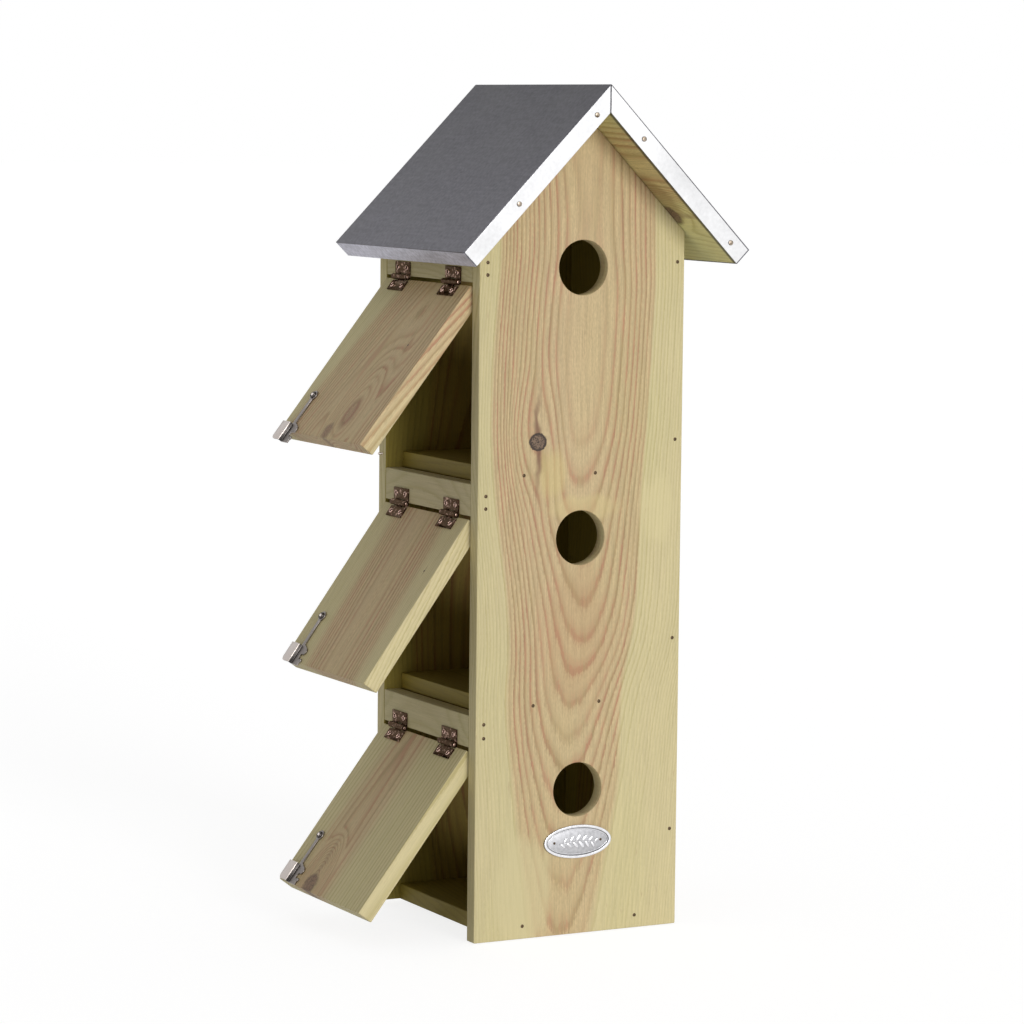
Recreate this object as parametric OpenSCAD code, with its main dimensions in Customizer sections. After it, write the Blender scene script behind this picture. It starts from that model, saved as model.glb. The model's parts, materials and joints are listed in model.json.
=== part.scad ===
// Three-storey sparrow nest box: a tall wooden box for a wall, with three
// entrance holes one above the other, a gabled roof under folded zinc sheet,
// and three top-hung doors on the left side for cleaning out the chambers.
// X runs to the right seen from the front, Y towards the wall, Z up. The
// origin is the middle of the hanging hole, on the rear face of the back panel.

/* [Box] */
// Width over the front panel
box_w = 143.5; // [125:0.5:200]
// Depth from the face of the front panel to the rear face of the back panel
box_d = 139.2; // [125:0.2:200]
// Thickness of the front, back and right side panels
wall_t = 10; // [8:0.5:14]
// Thickness of the floors
floor_t = 10; // [8:0.5:15]
// Height from the underside of one rail to the underside of the next
storey_h = 143.4; // [135:0.1:180]
// How far the front panel reaches below the bottom floor
front_skirt = 3; // [0:0.5:12]

/* [Rails] */
// Height of the two lower rails
rail_h = 20; // [14:0.5:30]
// Height of the top rail's outer face, up to the roof boards
top_rail_h = 30.5; // [26:0.5:45]
// Thickness of the rails
rail_t = 11; // [8:0.5:15]

/* [Entrance holes] */
// Diameter of the entrance holes
hole_d = 34; // [28:0.5:45]
// Height of the bottom entrance hole's centre above the bottom floor
bottom_hole_up = 78.4; // [72:0.2:86]
// Height of the middle entrance hole's centre above the middle floor
middle_hole_up = 98.3; // [60:0.1:108]
// Height of the top entrance hole's centre above the upper floor
top_hole_up = 122.2; // [60:0.2:130]

/* [Roof] */
// Pitch of the roof in degrees
roof_pitch = 45.5; // [35:0.5:50]
// Thickness of the roof boards
roof_board_t = 11.7; // [8:0.1:15]
// Thickness of the zinc sheet
sheet_t = 0.7; // [0.5:0.1:1.2]
// How far the underside of the roof reaches past the sides of the box
eave_out = 18.4; // [8:0.2:30]
// How far the roof reaches past the front panel
roof_front = 32; // [15:0.5:45]
// How far the roof reaches past the rear face of the back panel
roof_back = 8; // [3:0.5:15]

/* [Doors] */
// Thickness of the doors
door_t = 11; // [8:0.5:14]
// Gap between a door and the panel at each side of it
door_side_gap = 0.8; // [0.5:0.1:2]
// Gap between the bottom of a shut door and the rail below it
door_bottom_gap = 2.2; // [1:0.1:4]
// Gap between the inner face of a shut door and the ends of the floors
door_stop_gap = 1; // [0.5:0.1:2]
// Angle at which the top door stands open in degrees
top_door_open = 38; // [0:0.5:60]
// Angle at which the middle door stands open in degrees
middle_door_open = 36; // [0:0.5:60]
// Angle at which the bottom door stands open in degrees
bottom_door_open = 37.5; // [0:0.5:60]

/* [Hinges] */
// Length of a hinge along its pin
hinge_l = 20.5; // [15:0.5:24]
// Width of a hinge leaf from the pin's centre to its far edge
leaf_w = 9.4; // [8:0.1:11]
// Thickness of a hinge leaf
leaf_t = 0.9; // [0.6:0.1:1.2]
// Radius of the hinge knuckles
knuckle_r = 1.9; // [1.7:0.1:2.4]
// Radius of the hinge pin
hinge_pin_r = 1; // [0.8:0.1:1.2]
// Distance from the middle of the front hinges to the front panel
front_hinge_in = 25; // [16:0.5:30]
// Distance from the middle of the rear hinges to the back panel
rear_hinge_in = 24; // [16:0.5:30]

/* [Hooks] */
// Distance from a hook's pivot to the rear edge of the door
hook_in = 16; // [12:0.5:19]
// Height of the top hook's pivot above the bottom edge of its door
top_hook_up = 27.5; // [25:0.5:45]
// Height of the middle hook's pivot above the bottom edge of its door
middle_hook_up = 34; // [25:0.5:45]
// Height of the bottom hook's pivot above the bottom edge of its door
bottom_hook_up = 36; // [25:0.5:45]
// Length of a hook from its pivot to its lower end
hook_l = 36; // [32:0.5:42]
// Thickness of the hook's steel
hook_t = 1; // [0.7:0.1:1.4]
// Width of the hook's arm
hook_arm_w = 2.8; // [2.2:0.1:3.6]
// Radius of the eye around the pivot screw
hook_eye_r = 3.4; // [3:0.1:4]
// Height of the thumb tab's outer face above the back of the hook
tab_h = 3.5; // [3:0.5:6]
// Width of the thumb tab, from its web to the rear
tab_w = 10.5; // [8:0.5:13]
// Length of the thumb tab along the hook
tab_l = 13.5; // [10:0.5:16]

/* [Plate and hanging hole] */
// Width of the oval plate on the front
plate_w = 47.5; // [36:0.5:60]
// Height of the oval plate
plate_h = 21; // [14:0.5:26]
// Thickness of the oval plate
plate_t = 1; // [0.6:0.1:1.6]
// Height of the oval plate's centre above the bottom of the front panel
plate_z = 58.7; // [45:0.1:62]
// Diameter of the hanging hole in the back panel
hang_d = 6; // [4:0.5:8]
// Depth of the hanging hole's centre below the peak of the roof boards
hang_drop = 41; // [30:1:50]

/* [Hidden] */
$fn = 48;

// Storeys are counted from the bottom: 0, 1 and 2
BOTTOM = 0;
MIDDLE = 1;
TOP = 2;

// Height of the lowest rail's underside above the bottom of the front panel,
// with the lowest door ending level with that bottom
first_rail_z = storey_h - rail_h - door_bottom_gap;

// Roof, worked out from the walls up
roof_t = roof_board_t + sheet_t;
side_top = first_rail_z + 2 * storey_h + top_rail_h;
soffit_peak = side_top + box_w / 2 * tan(roof_pitch);
board_peak = soffit_peak + roof_board_t / cos(roof_pitch);
sheet_peak = soffit_peak + roof_t / cos(roof_pitch);
eave_x = box_w / 2 + eave_out;
// Play between the top edges of the walls and the roof boards
roof_play = 0.1;
wall_top = side_top - roof_play;
// Slope lengths of the roof's underside, over a gable and out to the eave
gable_slope_l = box_w / 2 / cos(roof_pitch);
slope_l = eave_x / cos(roof_pitch);

// Shift that puts the origin at the hanging hole
base_z = hang_drop - soffit_peak;
front_y = -box_d;
inner_front_y = front_y + wall_t;
inner_back_y = -wall_t;
left_x = -box_w / 2;
right_x = box_w / 2;

// Doors and hinges
knuckle_gap = 0.05;
pin_stand = knuckle_r + knuckle_gap;
hinge_drop = 0.4;
door_top_drop = 0.3;
door_l = storey_h - rail_h - hinge_drop - door_top_drop - door_bottom_gap;
pin_x = left_x - pin_stand;
door_front_y = inner_front_y + door_side_gap;
door_rear_y = inner_back_y - door_side_gap;
hinge_ys = [inner_front_y + front_hinge_in, inner_back_y - rear_hinge_in];
knuckle_end_gap = 0.15;
knuckle_l = hinge_l / 3;
leaf_start = knuckle_r + 0.35;
leaf_root = 0.8;
leaf_bore_clear = 0.02;
turn_clear = 0.06;
leaf_screw_y = hinge_l * 0.31;
leaf_screw_z = (leaf_start + leaf_w) / 2;
leaf_screw_r = 0.9;
leaf_screw_head_r = 1.7;
leaf_screw_top_r = 1.2;
leaf_screw_head_h = 0.5;
leaf_screw_l = 8;
hole_clear = 0.05;

// Hooks: Y runs to the rear and Z up from the pivot while a hook hangs
hook_lift = 0.2;
hook_screw_r = 1.1;
hook_head_r = 2.2;
hook_head_h = 1.1;
hook_head_top_r = 1.3;
hook_screw_l = 9;
hook_y = door_rear_y - hook_in;
ear_r = 2.6;
ear_at = [-6.4, 10.2];
// Turn at which the shoulder between the arm and the ear meets the ear
ear_turn = 120;
shoulder_up = 1.5;
notch_r = 1.9;
notch_at = [-6.2, 6.2];
notch_mouth_h = 2.3;
hook_point_y = -8.2;
hook_point_h = 4.9;
hook_point_r = 1.2;
hook_neck_y = -4.6;
neck_drop = 2;
tab_corner_r = 3;
keeper_r = 0.9;
keeper_out = 3;
keeper_deep = 12;
keeper_y = -wall_t / 2;
notch_reach = norm([notch_at[0], hook_l - notch_at[1]]);
keeper_drop = sqrt(notch_reach ^ 2 - (keeper_y - hook_y) ^ 2);

// Nails
nail_r = 0.8;
nail_head_r = 1.1;
nail_head_h = 0.5;
nail_l = 25;
// Places of the nails across each floor, counted from the bottom floor
floor_nail_x = [[-38, 42], [-32, 14.5], [-40, 10]];
// Heights of the two nails of each rail, as shares of rail_h
rail_nail_part = [[0.335, 0.77], [0.27, 0.655], [0.245, 0.625]];
// Heights of the nails of the right side panel, as shares of its height
side_nail_part = [0.14, 0.418, 0.704, 0.957];
roof_nail_l = 24;
sheet_nail_l = 14;
sheet_nail_head_r = 1.6;
sheet_nail_proud = 0.6;
// Flange nails down the left and the right slope, as shares of slope_l
left_sheet_nails = [0.058, 0.642];
right_sheet_nails = [0.214, 0.906];
// Roof board nails down a slope, as shares of gable_slope_l
roof_nail_part = [0.44, 0.9];

// Oval plate
plate_rim_w = 1.2;
plate_rim_h = 0.4;
plate_pin_x = 16.4;
plate_pin_r = 0.9;
plate_pin_l = 8;

// Heights above the bottom of the front panel
function rail_z(s) = first_rail_z + s * storey_h;
function floor_z(s) = s == BOTTOM ? front_skirt : rail_z(s - 1) + rail_h;
function hole_z(s) = floor_z(s) + floor_t + [bottom_hole_up, middle_hole_up, top_hole_up][s];
function pin_z(s) = rail_z(s) - hinge_drop;
function door_open(s) = [bottom_door_open, middle_door_open, top_door_open][s];
// Height of a hook's pivot, from the hinge pin of its shut door
function hook_z(s) = [bottom_hook_up, middle_hook_up, top_hook_up][s] - door_top_drop - door_l;
// Underside of the roof boards at a distance x from the middle
function soffit_z(x) = soffit_peak - abs(x) * tan(roof_pitch);

// Puts what is drawn from the bottom of the front panel into the part's frame
module on_base() {
    translate([0, 0, base_z]) children();
}

// Puts what is drawn round a hinge pin, with the door shut, at the open angle
module on_door(s) {
    on_base() translate([pin_x, 0, pin_z(s)]) rotate([0, door_open(s), 0]) children();
}

// A solid with an outline in X and Z that runs from y0 to y1
module along_y(y0, y1) {
    translate([0, y1, 0]) rotate([90, 0, 0]) linear_extrude(height = y1 - y0) children();
}

// A solid with an outline in Y and Z that runs from x0 to x1
module along_x(x0, x1) {
    translate([x0, 0, 0]) rotate([90, 0, 90]) linear_extrude(height = x1 - x0) children();
}

// A round bar along +Y that starts at the point p
module bar_y(p, r, l) {
    translate([p[0], p[1] + l, p[2]]) rotate([90, 0, 0]) cylinder(r = r, h = l);
}

// A nail along +Y with its head's face at y = 0
module nail_y(l, grow = 0) {
    bar_y([0, 0, 0], nail_head_r + grow, nail_head_h + grow);
    bar_y([0, 0, 0], nail_r + grow, l + grow);
}

// Outline of a gabled panel whose bottom edge is at height z0
module gable_outline(z0) {
    polygon([
        [left_x, z0], [right_x, z0], [right_x, wall_top],
        [0, soffit_peak - roof_play], [left_x, wall_top]
    ]);
}

// Places of the nails in a gabled panel, as points in X and Z
function floor_nail_points(s) = [
    for (x = floor_nail_x[s]) [x, floor_z(s) + floor_t / 2]
];
function rail_nail_points(s) = [
    for (part = rail_nail_part[s]) [left_x + rail_t / 2, rail_z(s) + part * rail_h]
];
function side_nail_points() = [
    for (part = side_nail_part) [right_x - wall_t / 2, part * side_top]
];

module front_nails(grow = 0) {
    for (p = panel_nail_points())
        translate([p[0], front_y - grow, p[1]]) nail_y(nail_l, grow);
}

module back_nails(grow = 0) {
    for (p = panel_nail_points())
        translate([p[0], grow, p[1]]) mirror([0, 1, 0]) nail_y(nail_l, grow);
}

function panel_nail_points() = concat(
    [for (s = [0 : 2], p = floor_nail_points(s)) p],
    [for (s = [0 : 2], p = rail_nail_points(s)) p],
    side_nail_points()
);

// Puts what is drawn with +Z out of the roof at a distance s down a slope.
// side is -1 on the left slope and 1 on the right, and the level z = 0 is the
// underside of the roof boards
module on_slope(side, s) {
    translate([side * s * cos(roof_pitch), 0, soffit_peak - s * sin(roof_pitch)])
        rotate([0, side * roof_pitch, 0]) children();
}

module roof_nails(grow = 0) {
    for (side = [-1, 1], part = roof_nail_part, y = [front_y + wall_t / 2, -wall_t / 2])
        translate([0, y, 0]) on_slope(side, part * gable_slope_l) translate([0, 0, roof_board_t + grow]) {
            mirror([0, 0, 1]) cylinder(r = nail_head_r + grow, h = nail_head_h + grow);
            mirror([0, 0, 1]) cylinder(r = nail_r + grow, h = roof_nail_l + grow);
        }
}

// Walls

module front_panel() {
    color("#cdbf8f") on_base() difference() {
        along_y(front_y, inner_front_y) gable_outline(0);
        for (s = [0 : 2]) bar_y([0, front_y - 1, hole_z(s)], hole_d / 2, wall_t + 2);
        front_nails(hole_clear);
        roof_nails(hole_clear);
        for (side = [-1, 1])
            bar_y([side * plate_pin_x, front_y - 1, plate_z], plate_pin_r + hole_clear, wall_t);
    }
}

module back_panel() {
    color("#c4b585") on_base() difference() {
        along_y(inner_back_y, 0) gable_outline(front_skirt);
        bar_y([0, inner_back_y - 1, -base_z], hang_d / 2, wall_t + 2);
        back_nails(hole_clear);
        roof_nails(hole_clear);
        for (s = [0 : 2]) keeper_at(s) keeper_pin(hole_clear);
    }
}

module right_side_panel() {
    inner_x = right_x - wall_t;
    color("#c9ba8a") on_base() difference() {
        along_y(inner_front_y, inner_back_y) polygon([
            [inner_x, front_skirt], [right_x, front_skirt],
            [right_x, wall_top], [inner_x, soffit_z(inner_x) - roof_play]
        ]);
        front_nails(hole_clear);
        back_nails(hole_clear);
    }
}

module rail(s, outline) {
    color("#a89c70") on_base() difference() {
        along_y(inner_front_y, inner_back_y) polygon(outline);
        front_nails(hole_clear);
        back_nails(hole_clear);
        translate([pin_x, 0, pin_z(s)]) leaf_screws(1, hole_clear);
    }
}

module top_rail() {
    rail(TOP, [
        [left_x, rail_z(TOP)], [left_x + rail_t, rail_z(TOP)],
        [left_x + rail_t, soffit_z(left_x + rail_t) - roof_play], [left_x, wall_top]
    ]);
}

module lower_rail_of(s) {
    rail(s, [
        [left_x, rail_z(s)], [left_x + rail_t, rail_z(s)],
        [left_x + rail_t, rail_z(s) + rail_h], [left_x, rail_z(s) + rail_h]
    ]);
}

module middle_rail() { lower_rail_of(MIDDLE); }

module lower_rail() { lower_rail_of(BOTTOM); }

module chamber_floor(s) {
    x0 = left_x + door_t + door_stop_gap;
    color("#b8a878") on_base() difference() {
        translate([x0, inner_front_y, floor_z(s)])
            cube([right_x - wall_t - x0, inner_back_y - inner_front_y, floor_t]);
        front_nails(hole_clear);
        back_nails(hole_clear);
    }
}

module upper_floor() { chamber_floor(TOP); }

module middle_floor() { chamber_floor(MIDDLE); }

module bottom_floor() { chamber_floor(BOTTOM); }

// Roof

// Corner of the roof at its eave, a distance n above the soffit and e past it
function eave_point(n, e = 0) = [
    eave_x + n * sin(roof_pitch) + e * cos(roof_pitch),
    soffit_z(eave_x) + n * cos(roof_pitch) - e * sin(roof_pitch)
];

module roof_board(side) {
    color("#a3935a") on_base() difference() {
        along_y(front_y - roof_front + sheet_t, roof_back - sheet_t) mirror([side < 0 ? 1 : 0, 0])
            polygon([[0, soffit_peak], eave_point(0), eave_point(roof_board_t), [0, board_peak]]);
        roof_nails(hole_clear);
        sheet_nails(hole_clear);
    }
}

module left_roof_board() { roof_board(-1); }

module right_roof_board() { roof_board(1); }

// Half of the outline of the folded sheet: the slope and the lip over the eave
module sheet_half() {
    polygon([
        [0, board_peak], eave_point(roof_board_t), eave_point(0),
        eave_point(0, sheet_t), eave_point(roof_t, sheet_t), [0, sheet_peak]
    ]);
}

// Half of the flange that covers the end of a roof board
module flange_half() {
    polygon([[0, soffit_peak], eave_point(0, sheet_t), eave_point(roof_t, sheet_t), [0, sheet_peak]]);
}

module both_halves() {
    children();
    mirror([1, 0]) children();
}

module zinc_roof_sheet() {
    front = front_y - roof_front;
    color("#8c8b93") on_base() difference() {
        union() {
            along_y(front, roof_back) both_halves() sheet_half();
            along_y(front, front + sheet_t) both_halves() flange_half();
            along_y(roof_back - sheet_t, roof_back) both_halves() flange_half();
        }
        sheet_nails(hole_clear);
    }
}

// Nails through the flanges into the ends of the roof boards, two on each slope
module sheet_nails(grow = 0) {
    for (side = [-1, 1], part = side < 0 ? left_sheet_nails : right_sheet_nails)
        on_slope(side, part * slope_l) {
            translate([0, front_y - roof_front, roof_board_t / 2]) sheet_nail(grow);
            translate([0, roof_back, roof_board_t / 2]) mirror([0, 1, 0]) sheet_nail(grow);
        }
}

module sheet_nail(grow) {
    bar_y([0, 0, 0], nail_r + grow, sheet_nail_l + grow);
    if (grow == 0)
        bar_y([0, -sheet_nail_proud, 0], sheet_nail_head_r, sheet_nail_proud);
    else
        bar_y([0, -1, 0], nail_r + grow, 2);
}

module front_panel_nails() { color("#8a8478") on_base() front_nails(); }

module back_panel_nails() { color("#8a8478") on_base() back_nails(); }

module roof_board_nails() { color("#8a8478") on_base() roof_nails(); }

module roof_sheet_nails() { color("#d8d6d2") on_base() sheet_nails(); }

// Plate

oval_steps = 72;
function oval(w, h) = [
    for (k = [0 : oval_steps - 1]) [w / 2 * cos(k * 360 / oval_steps), h / 2 * sin(k * 360 / oval_steps)]
];

module oval_plate() {
    color("#e6e6ea") on_base() translate([0, front_y, plate_z]) rotate([90, 0, 0]) difference() {
        linear_extrude(height = plate_t + plate_rim_h) polygon(oval(plate_w, plate_h));
        translate([0, 0, plate_t]) linear_extrude(height = 1)
            polygon(oval(plate_w - 2 * plate_rim_w, plate_h - 2 * plate_rim_w));
        for (side = [-1, 1])
            translate([side * plate_pin_x, 0, -1]) cylinder(r = plate_pin_r + hole_clear, h = 3);
    }
}

module plate_pins() {
    color("#5a5652") on_base() for (side = [-1, 1])
        bar_y([side * plate_pin_x, front_y - plate_t, plate_z], plate_pin_r, plate_pin_l);
}

// Keeper pins that the hooks drop onto, in the left edge of the back panel

module keeper_at(s) {
    translate([left_x, keeper_y, pin_z(s) + hook_z(s) - keeper_drop]) children();
}

module keeper_pin(grow = 0) {
    translate([grow > 0 ? 0 : -keeper_out, 0, 0]) rotate([0, 90, 0])
        cylinder(r = keeper_r + grow, h = keeper_deep + (grow > 0 ? grow : keeper_out));
}

module keeper_pins() {
    color("#9a9288") on_base() for (s = [0 : 2]) keeper_at(s) keeper_pin();
}

// Doors: drawn shut, round their hinge pin

module door_board(s) {
    color("#98906a") on_door(s) difference() {
        translate([pin_stand, door_front_y, -door_top_drop - door_l])
            cube([door_t, door_rear_y - door_front_y, door_l]);
        leaf_screws(-1, hole_clear);
        hook_screw(s, hole_clear);
    }
}

module top_door_board() { door_board(TOP); }

module middle_door_board() { door_board(MIDDLE); }

module bottom_door_board() { door_board(BOTTOM); }

// One hinge leaf with its knuckles. up is 1 on the rail and -1 on the door
module leaf(up) {
    spans = up > 0
        ? [[-hinge_l / 2, -knuckle_l / 2 - knuckle_end_gap], [knuckle_l / 2 + knuckle_end_gap, hinge_l / 2]]
        : [[-knuckle_l / 2, knuckle_l / 2]];
    bore_r = hinge_pin_r + (up > 0 ? leaf_bore_clear : turn_clear);
    plate_x = pin_stand - leaf_t;
    difference() {
        union() {
            for (span = spans) {
                bar_y([0, span[0], 0], knuckle_r, span[1] - span[0]);
                translate([plate_x, span[0], up > 0 ? leaf_root : -leaf_w])
                    cube([leaf_t, span[1] - span[0], leaf_w - leaf_root]);
            }
            translate([plate_x, -hinge_l / 2, up > 0 ? leaf_start : -leaf_w])
                cube([leaf_t, hinge_l, leaf_w - leaf_start]);
        }
        bar_y([0, -hinge_l, 0], bore_r, 2 * hinge_l);
        for (side = [-1, 1])
            translate([plate_x - 1, side * leaf_screw_y, up * leaf_screw_z])
                rotate([0, 90, 0]) cylinder(r = leaf_screw_r + hole_clear, h = leaf_t + 2);
    }
}

// The screws of both hinges of a door, in its rail or in the door
module leaf_screws(up, grow = 0) {
    for (y = hinge_ys, side = [-1, 1])
        translate([pin_stand - leaf_t, y + side * leaf_screw_y, up * leaf_screw_z]) rotate([0, 90, 0]) {
            cylinder(r = leaf_screw_r + grow, h = leaf_screw_l + leaf_t + grow);
            if (grow == 0)
                translate([0, 0, -leaf_screw_head_h])
                    cylinder(r1 = leaf_screw_top_r, r2 = leaf_screw_head_r, h = leaf_screw_head_h);
        }
}

module rail_leaves(s) {
    color("#3a2020") on_base() for (y = hinge_ys) translate([pin_x, y, pin_z(s)]) leaf(1);
}

module top_rail_leaves() { rail_leaves(TOP); }

module middle_rail_leaves() { rail_leaves(MIDDLE); }

module lower_rail_leaves() { rail_leaves(BOTTOM); }

module door_leaves(s) {
    color("#3a2020") on_door(s) for (y = hinge_ys) translate([0, y, 0]) leaf(-1);
}

module top_door_leaves() { door_leaves(TOP); }

module middle_door_leaves() { door_leaves(MIDDLE); }

module bottom_door_leaves() { door_leaves(BOTTOM); }

module hinge_pins(s) {
    color("#6b5a50") on_base() for (y = hinge_ys)
        translate([pin_x, y, pin_z(s)]) bar_y([0, -hinge_l / 2, 0], hinge_pin_r, hinge_l);
}

module top_hinge_pins() { hinge_pins(TOP); }

module middle_hinge_pins() { hinge_pins(MIDDLE); }

module bottom_hinge_pins() { hinge_pins(BOTTOM); }

module rail_screws(s) {
    color("#7a5a50") on_base() translate([pin_x, 0, pin_z(s)]) leaf_screws(1);
}

module top_rail_screws() { rail_screws(TOP); }

module middle_rail_screws() { rail_screws(MIDDLE); }

module lower_rail_screws() { rail_screws(BOTTOM); }

module door_screws(s) {
    color("#7a5a50") on_door(s) leaf_screws(-1);
}

module top_door_screws() { door_screws(TOP); }

module middle_door_screws() { door_screws(MIDDLE); }

module bottom_door_screws() { door_screws(BOTTOM); }

// Hooks

// Outline of the flat part of a hook, in Y and Z from its pivot
module hook_outline() {
    back = hook_arm_w / 2;
    tab_top = tab_l - hook_l;
    ear_z = ear_at[1] - hook_l;
    notch_z = notch_at[1] - hook_l;
    difference() {
        union() {
            circle(r = hook_eye_r);
            translate([-back, -hook_l]) square([hook_arm_w, hook_l]);
            translate([hook_neck_y, -hook_l]) square([back - hook_neck_y, tab_l - neck_drop]);
            translate([ear_at[0], ear_z]) circle(r = ear_r);
            polygon([
                [-back, tab_top + shoulder_up],
                [ear_at[0] + ear_r * cos(ear_turn), ear_z + ear_r * sin(ear_turn)],
                [ear_at[0], ear_z - ear_r], [-back, ear_z - ear_r]
            ]);
            translate([hook_point_y, -hook_l]) square([-hook_point_y, hook_point_h]);
            translate([hook_point_y, hook_point_h - hook_point_r - hook_l]) circle(r = hook_point_r);
        }
        translate([notch_at[0], notch_z]) circle(r = notch_r);
        translate([2 * hook_point_y, notch_z - notch_mouth_h / 2])
            square([notch_at[0] - 2 * hook_point_y, notch_mouth_h]);
    }
}

// Outline of the thumb tab, in Y and Z from the hook's pivot, with its lower rear corner rounded
module tab_outline(y0) {
    translate([y0, tab_corner_r - hook_l]) square([tab_w, tab_l - tab_corner_r]);
    translate([y0, -hook_l]) square([tab_w - tab_corner_r, tab_l]);
    translate([y0 + tab_w - tab_corner_r, tab_corner_r - hook_l]) circle(r = tab_corner_r);
}

module hook(s) {
    face_x = pin_stand - hook_lift;
    back = hook_arm_w / 2;
    color("#d8ccc4") on_door(s) translate([0, hook_y, hook_z(s)]) difference() {
        union() {
            along_x(face_x - hook_t, face_x) hook_outline();
            along_y(back - hook_t, back) translate([face_x - tab_h, -hook_l]) square([tab_h, tab_l]);
            along_x(face_x - tab_h, face_x - tab_h + hook_t) tab_outline(back - hook_t);
        }
        translate([face_x - hook_t - 1, 0, 0]) rotate([0, 90, 0])
            cylinder(r = hook_screw_r + turn_clear, h = hook_t + 2);
    }
}

module top_hook() { hook(TOP); }

module middle_hook() { hook(MIDDLE); }

module bottom_hook() { hook(BOTTOM); }

// The pivot screw of a hook: shank and domed head with room for the eye under it
module hook_screw(s, grow = 0) {
    head_x = pin_stand - 2 * hook_lift - hook_t;
    translate([head_x, hook_y, hook_z(s)]) rotate([0, 90, 0]) {
        cylinder(r = hook_screw_r + grow, h = hook_screw_l + grow);
        if (grow == 0)
            translate([0, 0, -hook_head_h])
                cylinder(r1 = hook_head_top_r, r2 = hook_head_r, h = hook_head_h);
    }
}

module hook_screw_of(s) {
    color("#c8c4c0") on_door(s) hook_screw(s);
}

module top_hook_screw() { hook_screw_of(TOP); }

module middle_hook_screw() { hook_screw_of(MIDDLE); }

module bottom_hook_screw() { hook_screw_of(BOTTOM); }

front_panel();
back_panel();
right_side_panel();
top_rail();
middle_rail();
lower_rail();
upper_floor();
middle_floor();
bottom_floor();
left_roof_board();
right_roof_board();
zinc_roof_sheet();
front_panel_nails();
back_panel_nails();
roof_board_nails();
roof_sheet_nails();
oval_plate();
plate_pins();
keeper_pins();
top_door_board();
middle_door_board();
bottom_door_board();
top_rail_leaves();
middle_rail_leaves();
lower_rail_leaves();
top_door_leaves();
middle_door_leaves();
bottom_door_leaves();
top_hinge_pins();
middle_hinge_pins();
bottom_hinge_pins();
top_rail_screws();
middle_rail_screws();
lower_rail_screws();
top_door_screws();
middle_door_screws();
bottom_door_screws();
top_hook();
middle_hook();
bottom_hook();
top_hook_screw();
middle_hook_screw();
bottom_hook_screw();
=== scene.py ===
"""A three-storey sparrow nest box with open clean-out doors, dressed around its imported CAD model."""

import json
import math

import bmesh
import bpy
from bpy.props import FloatProperty, FloatVectorProperty, PointerProperty
from mathutils import Matrix, Vector


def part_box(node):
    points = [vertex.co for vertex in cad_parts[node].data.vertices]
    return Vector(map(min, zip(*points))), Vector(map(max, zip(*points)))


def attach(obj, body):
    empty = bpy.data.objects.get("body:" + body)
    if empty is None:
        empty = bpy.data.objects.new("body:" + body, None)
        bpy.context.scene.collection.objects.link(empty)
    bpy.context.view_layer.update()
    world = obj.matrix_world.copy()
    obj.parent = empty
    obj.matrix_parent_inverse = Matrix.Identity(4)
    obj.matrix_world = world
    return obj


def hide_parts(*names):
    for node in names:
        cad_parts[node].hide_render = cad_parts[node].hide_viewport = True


bl_info = {
    "name": "Sparrow nest box",
    "version": (1, 0, 0),
    "blender": (4, 5, 0),
    "location": "3D View > Sidebar > Nest Box",
    "description": "Makes the boards, zinc roof, hinges and hooks of a sparrow nest box",
    "category": "Object",
}

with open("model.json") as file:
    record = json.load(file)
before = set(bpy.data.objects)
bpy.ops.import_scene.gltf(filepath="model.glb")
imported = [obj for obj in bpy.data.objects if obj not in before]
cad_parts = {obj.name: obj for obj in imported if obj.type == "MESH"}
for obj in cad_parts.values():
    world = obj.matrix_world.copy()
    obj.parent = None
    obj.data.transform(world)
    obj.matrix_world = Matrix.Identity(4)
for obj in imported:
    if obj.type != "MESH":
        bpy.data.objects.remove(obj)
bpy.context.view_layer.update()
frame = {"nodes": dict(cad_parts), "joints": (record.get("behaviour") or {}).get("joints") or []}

MM = 0.001
X_AXIS, Y_AXIS, Z_AXIS = Vector((1, 0, 0)), Vector((0, 1, 0)), Vector((0, 0, 1))
STOREYS = ("top", "middle", "bottom")
RAIL_OF = {"top": "top", "middle": "middle", "bottom": "lower"}

# Places that the CAD model gives, in metres
PANEL_LOW, PANEL_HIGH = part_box("front_panel")
BASE_Z, PEAK_Z = PANEL_LOW.z, PANEL_HIGH.z
FRONT_Y = PANEL_LOW.y
HALF_W = PANEL_HIGH.x
WALL_T = PANEL_HIGH.y - PANEL_LOW.y
ROOF_LOW, ROOF_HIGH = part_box("zinc_roof_sheet")
OVERHANG = FRONT_Y - ROOF_LOW.y
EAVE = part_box("right_roof_board")[0]
SHEET_T = EAVE.y - ROOF_LOW.y
# Height of each entrance hole's centre above the floor behind it and the holes' radius, in mm
ENTRANCES = {"bottom_floor": 78.4, "middle_floor": 98.3, "upper_floor": 122.2}
ENTRANCE_R = 17

# Points nearer than this are one, and creases flatter than this are none
SAME_POINT = 1e-6
FLAT = math.radians(0.4)
# Edges sharper than this are eased, those sharper than the next are square, and smooth shading breaks
# at the third
SHARP = math.radians(30)
SQUARE = math.radians(60)
SHADE_BREAK = math.radians(35)
QUARTER = math.radians(90)
# Edges shorter than these run round nail holes and the holes of the leaves, and stay sharp
HOLE_EDGE = 0.0004
LEAF_HOLE_EDGE = 0.0003
# Widths of the eased edges of nail heads and plate pins
NAIL_EASE = 0.00025
PIN_EASE = 0.0002
# Attribute that marks the faces on the edge of a piece: those whose normal has less than this share
# along the axis that the piece faces
EDGE = "edge"
EDGE_SHARE = 0.75
# The floor lies this far under the box
FLOOR_GAP = 0.0005
# Radius and height of the screw heads, and the faces round one
HINGE_SCREW = (0.0018, 0.0005)
HOOK_SCREW = (0.0024, 0.0011)
SCREW_STEPS = 20

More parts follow.
